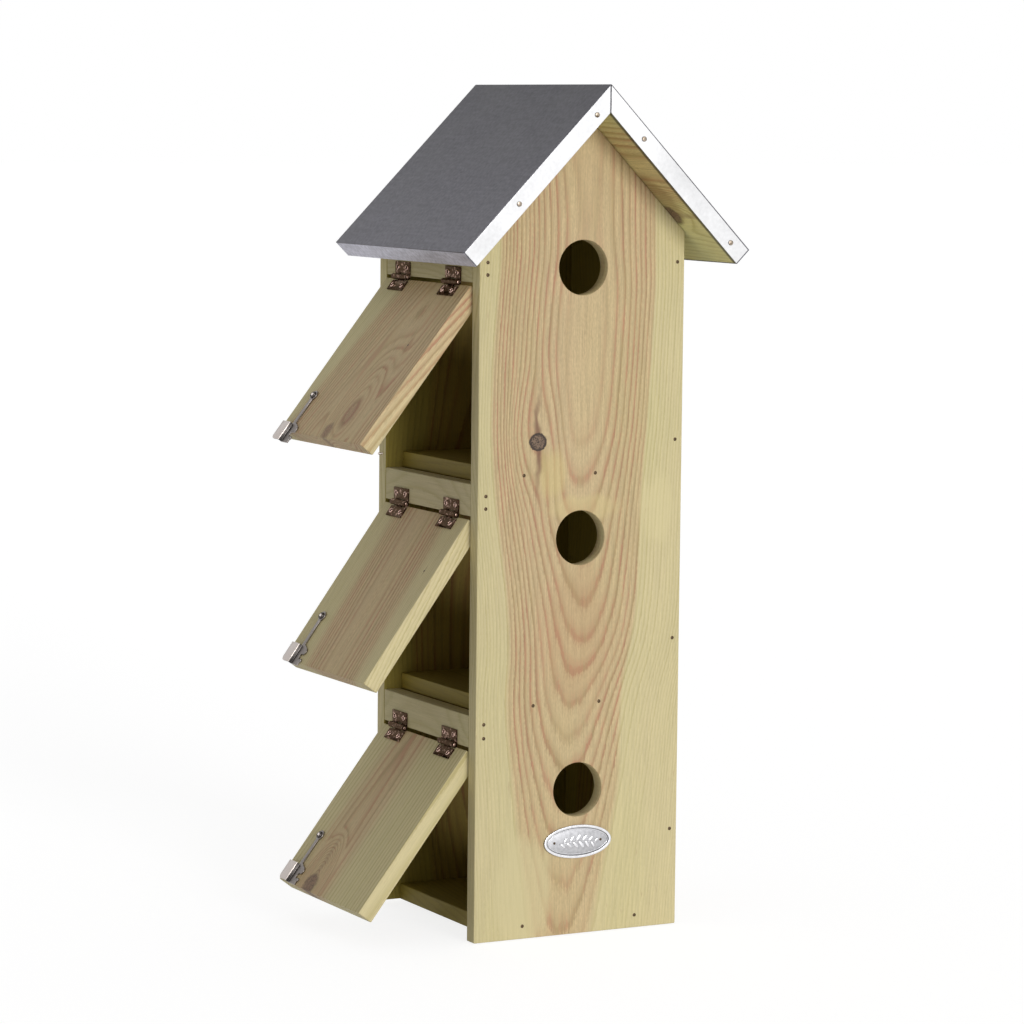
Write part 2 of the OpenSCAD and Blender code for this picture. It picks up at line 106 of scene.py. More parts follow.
# Patterns of the wood: waves in 1 mm across, into and along the board, seed, detail, roughness
WOOD_NOISE = {
    # The grain drifts, in one wave over 70 mm across and 220 mm along
    "drift": ((0.014, 0.014, 0.0045), 0.0, 2, 0.5),
    # A ring wanders, in waves of 6 mm across and 60 mm along
    "wander": ((0.16, 0.16, 0.016), 3.1, 3, 0.5),
    # Fibres 0.4 mm wide and 15 mm long, coarser than real ones so that they show
    "fibre": ((1.3, 1.3, 0.035), 1.3, 4, 0.6),
    # Planing tears the fibres into ticks, one in 1 mm across and 3 mm along
    "tick": ((1.1, 1.1, 0.36), 9.1, 2, 0.5),
    # A ring line is red in some places and brown in others, 5 mm wide and 50 mm long
    "hue": ((0.2, 0.2, 0.02), 6.2, 2, 0.5),
    # The treatment soaks in unevenly, in clouds 40 mm wide and 120 mm long
    "cloud": ((0.025, 0.025, 0.008), 7.7, 2, 0.5),
    # Flecks of resin 1 mm wide and 9 mm long
    "fleck": ((0.9, 0.9, 0.11), 5.5, 1, 0.5),
}
# How far the drift carries the grain across and into the board, in mm
DRIFT_BY = (4.0, 2.0, 0.0)
HALF = (0.5, 0.5, 0.5)
# Ring widths are given this far from the pith and twice as far, in mm
RING_AT = 30
# Darkness over the width of one ring, which ends in its dark line
RING_LINE = ((0.0, 0.35), (0.12, 0.06), (0.38, 0.0), (0.64, 0.36), (0.84, 1.0), (0.93, 0.9), (1.0, 0.35))
# The greatest depth or sideways run that a curve node holds, in mm
CURVE_TOP = 100
# Settings that many nodes share
BLEND = {"data_type": "RGBA"}
TINT = {"data_type": "RGBA", "blend_type": "MULTIPLY"}
SMOOTH = {"interpolation_type": "SMOOTHSTEP"}


def joint_of(body):
    """The joint that carries a body."""
    return next(j for j in frame["joints"] if j["child"] == body)


def points_of(node):
    """The points of a CAD node."""
    return [v.co for v in frame["nodes"][node].data.vertices]


def linear(code):
    """An sRGB hex colour as linear red, green and blue."""
    values = [int(code[i : i + 2], 16) / 255 for i in (1, 3, 5)]
    return tuple(v / 12.92 if v <= 0.04045 else ((v + 0.055) / 1.055) ** 2.4 for v in values)


def colour(name, description, code):
    """A colour property that starts from a hex code."""
    return FloatVectorProperty(
        name=name, description=description, default=linear(code), size=3, min=0, max=1, subtype="COLOR"
    )


def length(name, description, value):
    """A length property in metres."""
    return FloatProperty(name=name, description=description, default=value, unit="LENGTH", precision=5)


# Settings


class NestBoxWood(bpy.types.PropertyGroup):
    arris: length("Arris", "Width of the eased edges of the boards", 0.0006)
    ring: length("Ring width", "Spacing of the growth rings of the front panel", 0.0042)
    heart_early: colour("Heartwood", "Colour of the pale wood near the heart", "#c8b188")
    heart_late: colour("Heartwood rings", "Colour of the ring lines near the heart", "#b38667")
    heart_brown: colour("Heartwood rings, brown", "Second colour of the lines near the heart", "#a9946a")
    sap_early: colour("Sapwood", "Colour of the pale outer wood", "#d0c296")
    sap_late: colour("Sapwood rings", "Colour of the ring lines of the outer wood", "#b9ab78")
    knot: colour("Knot", "Colour of the heart of a knot", "#7c6653")
    bark: colour("Knot ring", "Colour of the dark ring round a knot", "#35281f")
    # Painted shade, with a green-brown cast, for the faces inside the box
    inside: colour("Inner faces", "Painted shade on the faces inside the box", "#bdb468")


class NestBoxRoof(bpy.types.PropertyGroup):
    fold: length("Fold radius", "Radius of the folds of the zinc sheet", 0.0009)
    # The slopes, lips and verges are one zinc sheet in three colours of painted reflection
    slope: colour("Slopes", "Colour of the slopes, a painted dark reflection", "#646369")
    lip: colour("Eave lips", "Colour of the lips over the eaves", "#c2c1cd")
    verge: colour("Verge flanges", "Colour of the flanges over the ends of the boards", "#d3d3d4")


class NestBoxMetal(bpy.types.PropertyGroup):
    bronze: colour("Hinges", "Colour of the bronzed hinges", "#39271d")
    bronze_worn: colour("Hinge wear", "Colour where the bronzing has worn off", "#b09488")
    nickel: colour("Hooks", "Colour of the nickel-plated hooks", "#d6ccc6")
    nail: colour("Nails", "Colour of the nail heads", "#574838")
    verge_nail: colour("Verge nails", "Colour of the nail heads in the zinc", "#a19485")
    plate: colour("Plate", "Colour of the bare oval plate", "#d4d4d7")
    edge: length("Metal edge", "Width of the rounded edges of the metal parts", 0.00018)


class NestBoxStage(bpy.types.PropertyGroup):
    floor: colour("Floor", "Colour of the floor", "#f4f4f4")
    key: FloatProperty(name="Key light", description="Strength of the soft lamp in front", default=1.78)
    ambient: FloatProperty(name="Ambient", description="Strength of the even light all round", default=0.41)
    lens: FloatProperty(
        name="Lens", description="Focal length of the camera on a 36 mm sensor", default=133.99
    )


# Materials


def output_of(source):
    """The first live output of a node, or the socket itself."""
    if isinstance(source, bpy.types.Node):
        return next(socket for socket in source.outputs if socket.enabled)
    return source


def add(tree, kind, inputs=(), **settings):
    """Adds a shader node with its settings and links. Inputs are values, nodes or sockets.

    They fill the live sockets in order, or go by name in a dictionary.
    """
    node = tree.nodes.new("ShaderNode" + kind)
    for key, value in settings.items():
        setattr(node, key, value)
    if isinstance(inputs, dict):
        pairs = [(node.inputs[key], value) for key, value in inputs.items()]
    else:
        pairs = list(zip([socket for socket in node.inputs if socket.enabled], inputs))
    for socket, value in pairs:
        if isinstance(value, (bpy.types.Node, bpy.types.NodeSocket)):
            tree.links.new(output_of(value), socket)
        else:
            socket.default_value = value
    return node


def shade(value, factor=1.0):
    """An opaque colour, made darker or lighter by a factor."""
    return tuple(min(1.0, v * factor) for v in value[:3]) + (1.0,)


def new_material(name, **surface):
    """A material with its surface shader. Surface values are set on the shader's own sockets."""
    material = bpy.data.materials.new(name)
    material.use_nodes = True
    tree = material.node_tree
    shader = tree.nodes["Principled BSDF"]
    for key, value in surface.items():
        shader.inputs[key.replace("_", " ")].default_value = value
    return material, tree, shader


def plug_in(tree, shader, height, strength, depth, **sources):
    """Links a shader's colour and roughness, and a bump from a height pattern, its depth in metres."""
    sources["Normal"] = add(tree, "Bump", {"Strength": strength, "Distance": depth, "Height": height})
    for key, source in sources.items():
        tree.links.new(output_of(source), shader.inputs[key.replace("_", " ")])


def set_curve(node, points, span):
    """Gives a Float Curve node its points, as (place, value in mm) over a span."""
    curve = node.mapping.curves[0]
    low, high = span
    while len(curve.points) < len(points):
        curve.points.new(0.5, 0.5)
    for point, (place, value) in zip(curve.points, points):
        point.location = ((place - low) / (high - low), value / CURVE_TOP)
    node.mapping.update()


def set_ramp(node, stops):
    """Gives a Color Ramp node its stops, as (place, grey)."""
    elements = node.color_ramp.elements
    while len(elements) < len(stops):
        elements.new(0.5)
    for element, (at, value) in zip(elements, stops):
        element.position = at
        element.color = (value, value, value, 1)


def streaks(tree, place, waves, seed, detail, roughness):
    """Noise with its own number of waves per unit along each axis."""
    stretched = add(tree, "VectorMath", (place, waves), operation="MULTIPLY")
    return add(tree, "TexNoise", (stretched, seed, 1.0, detail, roughness), noise_dimensions="4D")


def distance(tree, offset, weights):
    """How long an offset is, with each axis weighed."""
    weighed = add(tree, "VectorMath", (offset, weights), operation="MULTIPLY")
    return add(tree, "VectorMath", (weighed,), operation="LENGTH")


def add_knot(tree, wood, timber, body, knot, seed):
    """Lays a knot over the colour of a board: a resin stain, then a mottled heart in a dark rind."""
    across, along, size, _, soft, _ = knot
    offset = add(tree, "VectorMath", (timber, (across, 0, along)), operation="SUBTRACT")
    # The stain is narrow, wanders by a few millimetres and runs along the grain above and below the knot
    sway = add(tree, "TexNoise", (timber, seed + 4.4, 0.07, 2), noise_dimensions="4D")
    sway = add(tree, "VectorMath", (sway.outputs["Color"], HALF), operation="SUBTRACT")
    sway = add(tree, "VectorMath", (sway, (9.0, 0.0, 0.0), offset), operation="MULTIPLY_ADD")
    stain = distance(tree, sway, (1.8, 0.0, 0.12))
    stain = add(tree, "MapRange", (stain, 0.12 * size, 0.85 * size, 0.95 * (1 - soft) ** 2, 0), **SMOOTH)
    body = add(tree, "Mix", (stain, body, shade(wood.heart_late, 0.45)), **BLEND)
    ripple = add(tree, "TexNoise", (timber, seed, 0.75 - 0.35 * soft, 3), noise_dimensions="4D")
    rough = (0.34 + 0.6 * soft) * size
    ragged = distance(tree, offset, (1.0, 0.0, 1.1 - 0.45 * soft))
    ragged = add(tree, "Math", (ripple, rough, ragged), operation="MULTIPLY_ADD")
    ragged = add(tree, "Math", (ragged, 0.5 * rough), operation="SUBTRACT")
    reach = ((0.92 - 0.6 * soft) * size, (1.06 + 0.5 * soft) * size)
    core = add(tree, "MapRange", (ragged, *reach, 1 - 0.55 * soft, 0), **SMOOTH)
    # The knot's own rings, mottled, inside a dark rind
    turns = add(tree, "Math", (ripple, 3.2 * size, ragged), operation="MULTIPLY_ADD")
    turns = add(tree, "Math", (turns, 7.6 / size, -6.6), operation="MULTIPLY_ADD")
    turns = add(tree, "Math", (turns,), operation="SINE")
    rings = add(tree, "MapRange", (turns, -0.8, 0.5, 0, 1))
    rind = add(tree, "MapRange", (ragged, 0.66 * size, (0.84 + 0.4 * soft) * size, 1, 0.5 * soft))
    rings = add(tree, "Math", (rings, rind), operation="MULTIPLY")
    # A soft knot, of a branch that was still alive, is redder
    red = (1 + 0.35 * soft, 1 - 0.12 * soft, 1 - 0.14 * soft)
    dark, pale = (
        shade([v * r for v, r in zip(shade(tint, factor), red)])
        for tint, factor in ((wood.bark, 1 + 1.9 * soft), (wood.knot, 1 + 0.15 * soft))
    )
    heart = add(tree, "Mix", (rings, dark, pale), **BLEND)
    return add(tree, "Mix", (core, body, heart), **BLEND)


def pine(name, origin, axes, depth, middle, ring=4.2, outer=2.9, heart=66, skew=0.0, knots=(), seed=0.0,
         tone=1.0, late=1.0, blend=1.5, patches=(), inner=None, stain=None, painted_left_shade=None, painted_end_shadow=None, fade=None):
    """Planed pine, pressure-treated: growth rings round a pith that lies below the face, sawn through.

    Planing shows the rings as fine dark lines, and the salts of the treatment give a pale green cast.
    Axes are across the face, into the board and along the grain. Depth gives how deep the pith lies
    under the face along the board, and middle its place across, as (place, value) in mm from one end to
    the other. Where the depth falls off, the rings close into arches. Ring and outer are the widths of a
    ring near the pith and further out. The heart ends at a radius, with a blend to the sapwood, and
    nearer the middle on the side that skew names. Late is how strong the ring lines are, and tone how
    light the whole board is.

    Knots are (across, along, radius, reach, softness, lift): lift crowds the rings into arches over a
    knot. Patches are (across, along, half width, half height, colour, share, softness) of wood that took
    the treatment otherwise. Inner is the depth of the inner face, which painted shade darkens inside the
    box, stain a tint of the whole board, and the painted left shade the tone of its left side, darkened
    as painted shade. The painted end shadow and fade are (along, along, tone, tone): a shadow painted
    across the board near its end, and ring lines that grow paler.
    """
    wood = bpy.context.scene.nest_box_wood
    material, tree, shader = new_material(name, Roughness=0.62, IOR=1.45)
    place = add(tree, "TexCoord").outputs["Object"]
    turn = Matrix(axes).transposed().to_euler()
    timber = add(tree, "Mapping", (place, origin, turn, (MM, MM, MM)), vector_type="TEXTURE")
    at = add(tree, "SeparateXYZ", (timber,))
    drift, wander, fibre, tick, hue, cloud, fleck = (
        streaks(tree, timber, waves, seed + shift, detail, roughness)
        for waves, shift, detail, roughness in WOOD_NOISE.values()
    )
    drift = add(tree, "VectorMath", (drift.outputs["Color"], HALF), operation="SUBTRACT")
    drift = add(tree, "VectorMath", (drift, DRIFT_BY), operation="MULTIPLY")
    grain = add(tree, "VectorMath", (timber, drift), operation="ADD")
    # The grain parts round a knot: places near it read the grain nearer to its centre
    lifts = []
    for across, along, _, reach, _, lift in knots:
        offset = add(tree, "VectorMath", (timber, (across, 0, along)), operation="SUBTRACT")
        near = distance(tree, offset, (1.0, 0.0, 0.42))
        pull = add(tree, "MapRange", (near, 0, reach, 0.85, 0), interpolation_type="SMOOTHERSTEP")
        side = add(tree, "VectorMath", (offset, X_AXIS), operation="MULTIPLY")
        side = add(tree, "VectorMath", (side, pull), operation="SCALE")
        grain = add(tree, "VectorMath", (grain, side), operation="SUBTRACT")
        if lift:
            lifts.append(add(tree, "MapRange", (near, 0, reach, lift, 0), **SMOOTH))

    # How far each place lies from the pith
    across, into, along = add(tree, "SeparateXYZ", (grain,)).outputs
    span = (depth[0][0], depth[-1][0])
    run = add(tree, "MapRange", (along, *span, 0, 1))
    pith_depth = add(tree, "FloatCurve", (1.0, run))
    set_curve(pith_depth, depth, span)
    pith = add(tree, "FloatCurve", (1.0, run))
    set_curve(pith, [(p, v + CURVE_TOP / 2) for p, v in middle], span)
    down = add(tree, "Math", (pith_depth, CURVE_TOP, into), operation="MULTIPLY_ADD")
    pith = add(tree, "Math", (pith, -CURVE_TOP, CURVE_TOP / 2), operation="MULTIPLY_ADD")
    across = add(tree, "Math", (across, pith), operation="ADD")
    radius = add(tree, "CombineXYZ", (across, down, 0))
    radius = add(tree, "VectorMath", (radius,), operation="LENGTH")
    grown = add(tree, "Math", (wander, 0.34 * ring, radius), operation="MULTIPLY_ADD")
    # The heart ends at one ring
    lean = add(tree, "MapRange", (across, 10, 60, 0, 50 * skew))
    low = add(tree, "MapRange", (along, 80, 190, 0, 1), **SMOOTH)
    lean = add(tree, "Math", (lean, low, grown), operation="MULTIPLY_ADD")
    sap = add(tree, "MapRange", (lean, heart - blend, heart + blend, 0, 1), **SMOOTH)

    # The rings, lifted over the knots, frayed by fibres and ticks, and narrower outwards
    radius = grown
    for lift in lifts:
        radius = add(tree, "Math", (radius, lift), operation="ADD")
    fray = add(tree, "Math", (fibre, tick), operation="ADD")
    radius = add(tree, "Math", (fray, 0.8, radius), operation="MULTIPLY_ADD")
    closing = (1 / outer - 1 / ring) / (2 * RING_AT)
    closing = add(tree, "Math", (radius, closing, 2 / ring - 1 / outer), operation="MULTIPLY_ADD")
    phase = add(tree, "Math", (radius, closing), operation="MULTIPLY")
    line = add(tree, "ValToRGB", (add(tree, "Math", (phase,), operation="FRACT"),))
    line.color_ramp.interpolation = "EASE"
    set_ramp(line, RING_LINE)
    count = add(tree, "Math", (phase,), operation="FLOOR")
    count = add(tree, "Math", (count, seed), operation="ADD")
    chance = add(tree, "TexWhiteNoise", (count,), noise_dimensions="1D")
    # Fibres and ticks tint the wood and the ticks break up the lines, less so in the sapwood, which
    # planes cleanly. Ranges are of the noise, then weakest in heart and sap, then strongest in both
    grey, ticks, broken = (
        add(tree, "MapRange", (
            noise, low, high, add(tree, "MapRange", (sap, 0, 1, *weakest)),
            add(tree, "MapRange", (sap, 0, 1, *strongest)),
        ))
        for noise, low, high, weakest, strongest in (
            (fibre, 0.25, 0.75, (0.8, 0.87), (1.17, 1.1)), (tick, 0.3, 0.7, (0.89, 0.96), (1.09, 1.03)),
            (tick, 0.3, 0.7, (0.68, 0.84), (1.24, 1.12)),
        )
    )
    # The wide rings near the pith have paler lines than the close ones
    factors = [
        add(tree, "MapRange", (chance, 0, 1, 0.4 * late, 1.05 * late)), broken,
        add(tree, "MapRange", (grown, 24, 52, 0.75, 1.25)),
    ]
    if fade is not None:
        factors.append(add(tree, "MapRange", (along, *fade)))
    for factor in factors:
        line = add(tree, "Math", (line, factor), operation="MULTIPLY")
    weight = add(tree, "MapRange", (sap, 0, 1, 1.25, 0.66))
    line = add(tree, "Math", (line, weight), operation="MULTIPLY", use_clamp=True)

    heart_early, heart_late, heart_brown, sap_early, sap_late = (
        shade(tint, tone)
        for tint in (wood.heart_early, wood.heart_late, wood.heart_brown, wood.sap_early, wood.sap_late)
    )
    early = add(tree, "Mix", (sap, heart_early, sap_early), **BLEND)
    hue = add(tree, "MapRange", (hue, 0.4, 0.6, 0, 0.85))
    dark = add(tree, "Mix", (hue, heart_late, heart_brown), **BLEND)
    dark = add(tree, "Mix", (sap, dark, sap_late), **BLEND)
    body = add(tree, "Mix", (line, early, dark), **BLEND)
    tones = [ticks]
    # Painted shade darkens the board towards its left side
    if painted_left_shade is not None:
        tones.append(add(tree, "MapRange", (at.outputs["X"], -70, 50, painted_left_shade, 1)))
    # A painted shadow darkens a band across the board near its end
    if painted_end_shadow is not None:
        tones.append(add(tree, "MapRange", (along, *painted_end_shadow)))
    for factor in tones:
        grey = add(tree, "Math", (grey, factor), operation="MULTIPLY")
    # Where the treatment soaked in, the wood is a little greener
    cloud = add(tree, "MapRange", (cloud, 0.3, 0.7, 0, 0.5))
    tints = [(cloud, (0.93, 0.98, 0.86, 1)), (1.0, grey)]
    if stain is not None:
        tints.append((1.0, shade(stain)))
    for factor, tint in tints:
        body = add(tree, "Mix", (factor, body, tint), **TINT)
    for x, z, half_wide, half_tall, tint, share, soft in patches:
        spot = add(tree, "VectorMath", (timber, (x, 0, z)), operation="SUBTRACT")
        spot = distance(tree, spot, (1 / half_wide, 0.0, 1 / half_tall))
        spot = add(tree, "Math", (wander, 2 * soft, spot), operation="MULTIPLY_ADD")
        spot = add(tree, "MapRange", (spot, 1 + 0.5 * soft, 1 + 1.5 * soft, share, 0), **SMOOTH)
        body = add(tree, "Mix", (spot, body, shade(linear(tint))), **BLEND)
    fleck = add(tree, "MapRange", (fleck, 0.7, 0.8, 0, 0.3))
    body = add(tree, "Mix", (fleck, body, shade(wood.heart_late, 0.72)), **BLEND)
    for knot in knots:
        body = add_knot(tree, wood, timber, body, knot, seed)
    if inner is not None:
        # Painted shade darkens the faces inside the box, with a green-brown cast
        rough = add(tree, "MapRange", (at.outputs["Y"], inner - 0.6, inner - 0.1, 0, 1))
        body = add(tree, "Mix", (rough, body, shade(wood.inside)), **TINT)
    height = add(tree, "Math", (fibre, 0.5, line), operation="MULTIPLY_ADD")
    plug_in(tree, shader, height, strength=0.35, depth=0.00015, Base_Color=body)
    return material


def edge_tone(tree, tone):
    """The tone of the faces that a piece marks as its edge, and 1 on the others."""
    marked = add(tree, "Attribute", attribute_name=EDGE)
    return add(tree, "MapRange", (marked.outputs["Fac"], 0, 1, 1, tone))


def metal(name, base, roughness, worn=None, grain=900.0, spread=0.12, wear=0.56, relief=0.2, painted_light_layers=None,
          rim=None, slant=(1, 1, 1)):
    """Sheet metal or wire: fine mottling, and wear in patches where a worn colour is given.

    Grain is how many waves the mottling has in 1 m, so 900 makes them 1.1 mm wide. Painted light layers
    are (point, axis, stops): stops give the tone at depths in mm from the point along the axis, as painted
    highlight and painted shade. Rim is the tone of the faces that the piece marks as its edge, painted
    shade round a head or a raised part. Slant is the tint of what it mirrors at a slant, where a brown film
    keeps its colour and bare metal whitens.
    """
    material, tree, shader = new_material(name, Metallic=1.0, Specular_Tint=shade(slant))
    place = add(tree, "TexCoord").outputs["Object"]
    noise = add(tree, "TexNoise", (place, grain, 3))
    mottle = add(tree, "MapRange", (noise, 0.3, 0.7, 1 - spread, 1 + spread))
    body = add(tree, "Mix", (1.0, shade(base), mottle), **TINT)
    if worn is not None:
        rubbed = add(tree, "TexNoise", (place, grain * 0.7, 4))
        rubbed = add(tree, "MapRange", (rubbed, wear, wear + 0.1, 0, 0.9))
        body = add(tree, "Mix", (rubbed, body, shade(worn)), **BLEND)
    tones = []
    # Painted highlight and painted shade by depth along an axis
    if painted_light_layers is not None:
        point, axis, stops = painted_light_layers
        last = stops[-1][0]
        deep = add(tree, "VectorMath", (place, point), operation="SUBTRACT")
        deep = add(tree, "VectorMath", (deep, axis), operation="DOT_PRODUCT")
        deep = add(tree, "Math", (deep, 1 / (last * MM)), operation="MULTIPLY", use_clamp=True)
        tones.append(add(tree, "ValToRGB", (deep,)))
        set_ramp(tones[0], [(at / last, value) for at, value in stops])
    # Painted shade on the faces round the edge of a head or a raised part
    if rim is not None:
        tones.append(edge_tone(tree, rim))
    for tone in tones:
        body = add(tree, "Mix", (1.0, body, tone), **TINT)
    matt = add(tree, "MapRange", (noise, 0.3, 0.7, roughness - 0.05, roughness + 0.07))
    plug_in(tree, shader, noise, strength=relief, depth=0.00005, Base_Color=body, Roughness=matt)
    return material


def zinc(name, base, roughness, metallic=1.0, darker_to_peak=None, painted_edge_shade=None, mottle=1.0):
    """Rolled sheet zinc, weathered: cloudy patches 45 mm wide, a faint rolled grain and dust specks.

    Darker to peak is (height, height, tone, tone): the sheet darkens towards the peak, as part of its
    painted reflection. The painted edge shade is the tone of the faces that the piece marks as its edge,
    painted shade along the sheet's edges, and mottle how strong the patches are.
    """
    material, tree, shader = new_material(name, Metallic=metallic)
    place = add(tree, "TexCoord").outputs["Object"]
    # One wave in 45 mm for the clouds, 2 mm by 22 mm for the grain and 2.4 mm for the specks
    cloud = add(tree, "TexNoise", (place, 22, 3))
    rolled = add(tree, "VectorMath", (place, (500, 45, 500)), operation="MULTIPLY")
    rolled = add(tree, "TexNoise", (rolled, 1, 2))
    speck = add(tree, "TexNoise", (place, 420, 4))
    tone, *factors = (
        add(tree, "MapRange", (noise, 0.3, 0.7, 1 - spread * mottle, 1 + spread * mottle))
        for noise, spread in ((cloud, 0.13), (rolled, 0.08), (speck, 0.18))
    )
    # The sheet darkens towards the peak, part of its painted reflection
    if darker_to_peak is not None:
        height = add(tree, "SeparateXYZ", (place,)).outputs["Z"]
        factors.append(add(tree, "MapRange", (height, *darker_to_peak)))
    # Painted shade darkens the faces marked as the sheet's edge
    if painted_edge_shade is not None:
        factors.append(edge_tone(tree, painted_edge_shade))
    for factor in factors:
        tone = add(tree, "Math", (tone, factor), operation="MULTIPLY")
    body = add(tree, "Mix", (1.0, shade(base), tone), **TINT)
    matt = add(tree, "MapRange", (cloud, 0.3, 0.7, roughness - 0.04, roughness + 0.06))
    plug_in(tree, shader, rolled, strength=0.12, depth=0.0001, Base_Color=body, Roughness=matt)
    return material


# Pieces


def finish_piece(bm, name, material, body, slot, node, smooth=False, facing=None):
    """Turns a finished bmesh into a piece that rides on a body and stands for a CAD node.

    Faces turned away from the facing axis are marked as the piece's edge.
    """
    mesh = bpy.data.meshes.new(name)
    bm.to_mesh(mesh)
    bm.free()
    if facing is not None:
        marks = mesh.attributes.new(EDGE, "FLOAT", "FACE")
        for mark, face in zip(marks.data, mesh.polygons):
            mark.value = float(abs(face.normal.dot(facing)) < EDGE_SHARE)
    if smooth:
        mesh.shade_smooth()
        mesh.set_sharp_from_angle(angle=SHADE_BREAK)
    mesh.materials.append(material)
    piece = bpy.data.objects.new(name, mesh)
    bpy.context.scene.collection.objects.link(piece)
    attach(piece, body)
    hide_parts(node)


def ease(bm, edges, width, segments=2, clamp=False):
    """Rounds edges of a mesh."""
    bmesh.ops.bevel(
        bm, geom=edges, offset=width, offset_type="OFFSET", affect="EDGES", segments=segments,
        profile=0.5, material=-1, clamp_overlap=clamp,
    )


def block(matrix):
    """A cube of unit size, put in place and stretched by a matrix."""
    bm = bmesh.new()
    bmesh.ops.create_cube(bm, size=1.0, matrix=matrix)
    return bm


def thicken(bm, faces, by):
    """Pushes flat faces along a vector into a closed solid."""
    pushed = bmesh.ops.extrude_face_region(bm, geom=faces)["geom"]
    bmesh.ops.translate(bm, vec=by, verts=[v for v in pushed if isinstance(v, bmesh.types.BMVert)])
    bmesh.ops.recalc_face_normals(bm, faces=bm.faces)


def merged(node):
    """A copy of a CAD node's mesh with its points merged."""
    bm = bmesh.new()
    bm.from_mesh(frame["nodes"][node].data)
    bmesh.ops.remove_doubles(bm, verts=bm.verts, dist=SAME_POINT)
    return bm


def dressed(node, edge, shortest=0.0):
    """A copy of a CAD node with its sharp edges eased. Edges shorter than shortest stay sharp."""
    bm = merged(node)
    bmesh.ops.dissolve_limit(bm, angle_limit=FLAT, verts=bm.verts, edges=bm.edges)
    sharp = [
        e for e in bm.edges
        if len(e.link_faces) == 2 and e.calc_face_angle() > SHARP and e.calc_length() > shortest
    ]
    ease(bm, sharp, edge, clamp=True)
    return bm


def board(node, name, material, body="box"):
    """A board with eased arrises. The short edges of its nail holes stay sharp."""
    bm = dressed(node, bpy.context.scene.nest_box_wood.arris, HOLE_EDGE)
    finish_piece(bm, name, material, body, "pine", node)


def fitting(node, edge, material, body, slot, shortest=0.0, facing=None):
    """A metal part in its CAD node's own shape, with its edges rounded."""
    bm = dressed(node, edge, shortest)
    finish_piece(bm, f"{node}_dressed", material, body, slot, node, smooth=True, facing=facing)


def spun(profile, centre, axis):
    """A turned shape. The profile is (radius, height) pairs along the axis from the centre."""
    bm = bmesh.new()
    points = [bm.verts.new((r, 0, h)) for r, h in profile]
    edges = [bm.edges.new(pair) for pair in zip(points, points[1:])]
    bmesh.ops.spin(
        bm, geom=points + edges, cent=(0, 0, 0), axis=(0, 0, 1), angle=math.tau, steps=SCREW_STEPS,
        use_merge=True,
    )
    bmesh.ops.remove_doubles(bm, verts=bm.verts, dist=SAME_POINT / 10)
    bmesh.ops.recalc_face_normals(bm, faces=bm.faces)
    turn = Z_AXIS.rotation_difference(axis).to_matrix().to_4x4()
    bmesh.ops.transform(bm, matrix=Matrix.Translation(centre) @ turn, verts=bm.verts)
    return bm


def joined(meshes):
    """Several bmeshes as one."""
    whole = bmesh.new()
    for bm in meshes:
        mesh = bpy.data.meshes.new("part")
        bm.to_mesh(mesh)
        bm.free()
        whole.from_mesh(mesh)
        bpy.data.meshes.remove(mesh)
    return whole


def shells(bm):
    """The vertices of each separate shell of a mesh."""
    left = set(bm.verts)
    for start in bm.verts:
        if start not in left:
            continue
        left.discard(start)
        shell, queue = [start], [start]
        while queue:
            vert = queue.pop()
            found = [v for v in (e.other_vert(vert) for e in vert.link_edges) if v in left]
            left.difference_update(found)
            shell += found
            queue += found
        yield shell


def door_axes(storey):
    """The axes of an open door: across its face, into the board and up along it."""
    opened = math.radians(-joint_of(f"{storey}_door")["range_deg"][0])
    inward = Vector((math.cos(opened), 0, -math.sin(opened)))
    along = Vector((math.sin(opened), 0, math.cos(opened)))
    return -Y_AXIS, inward, along


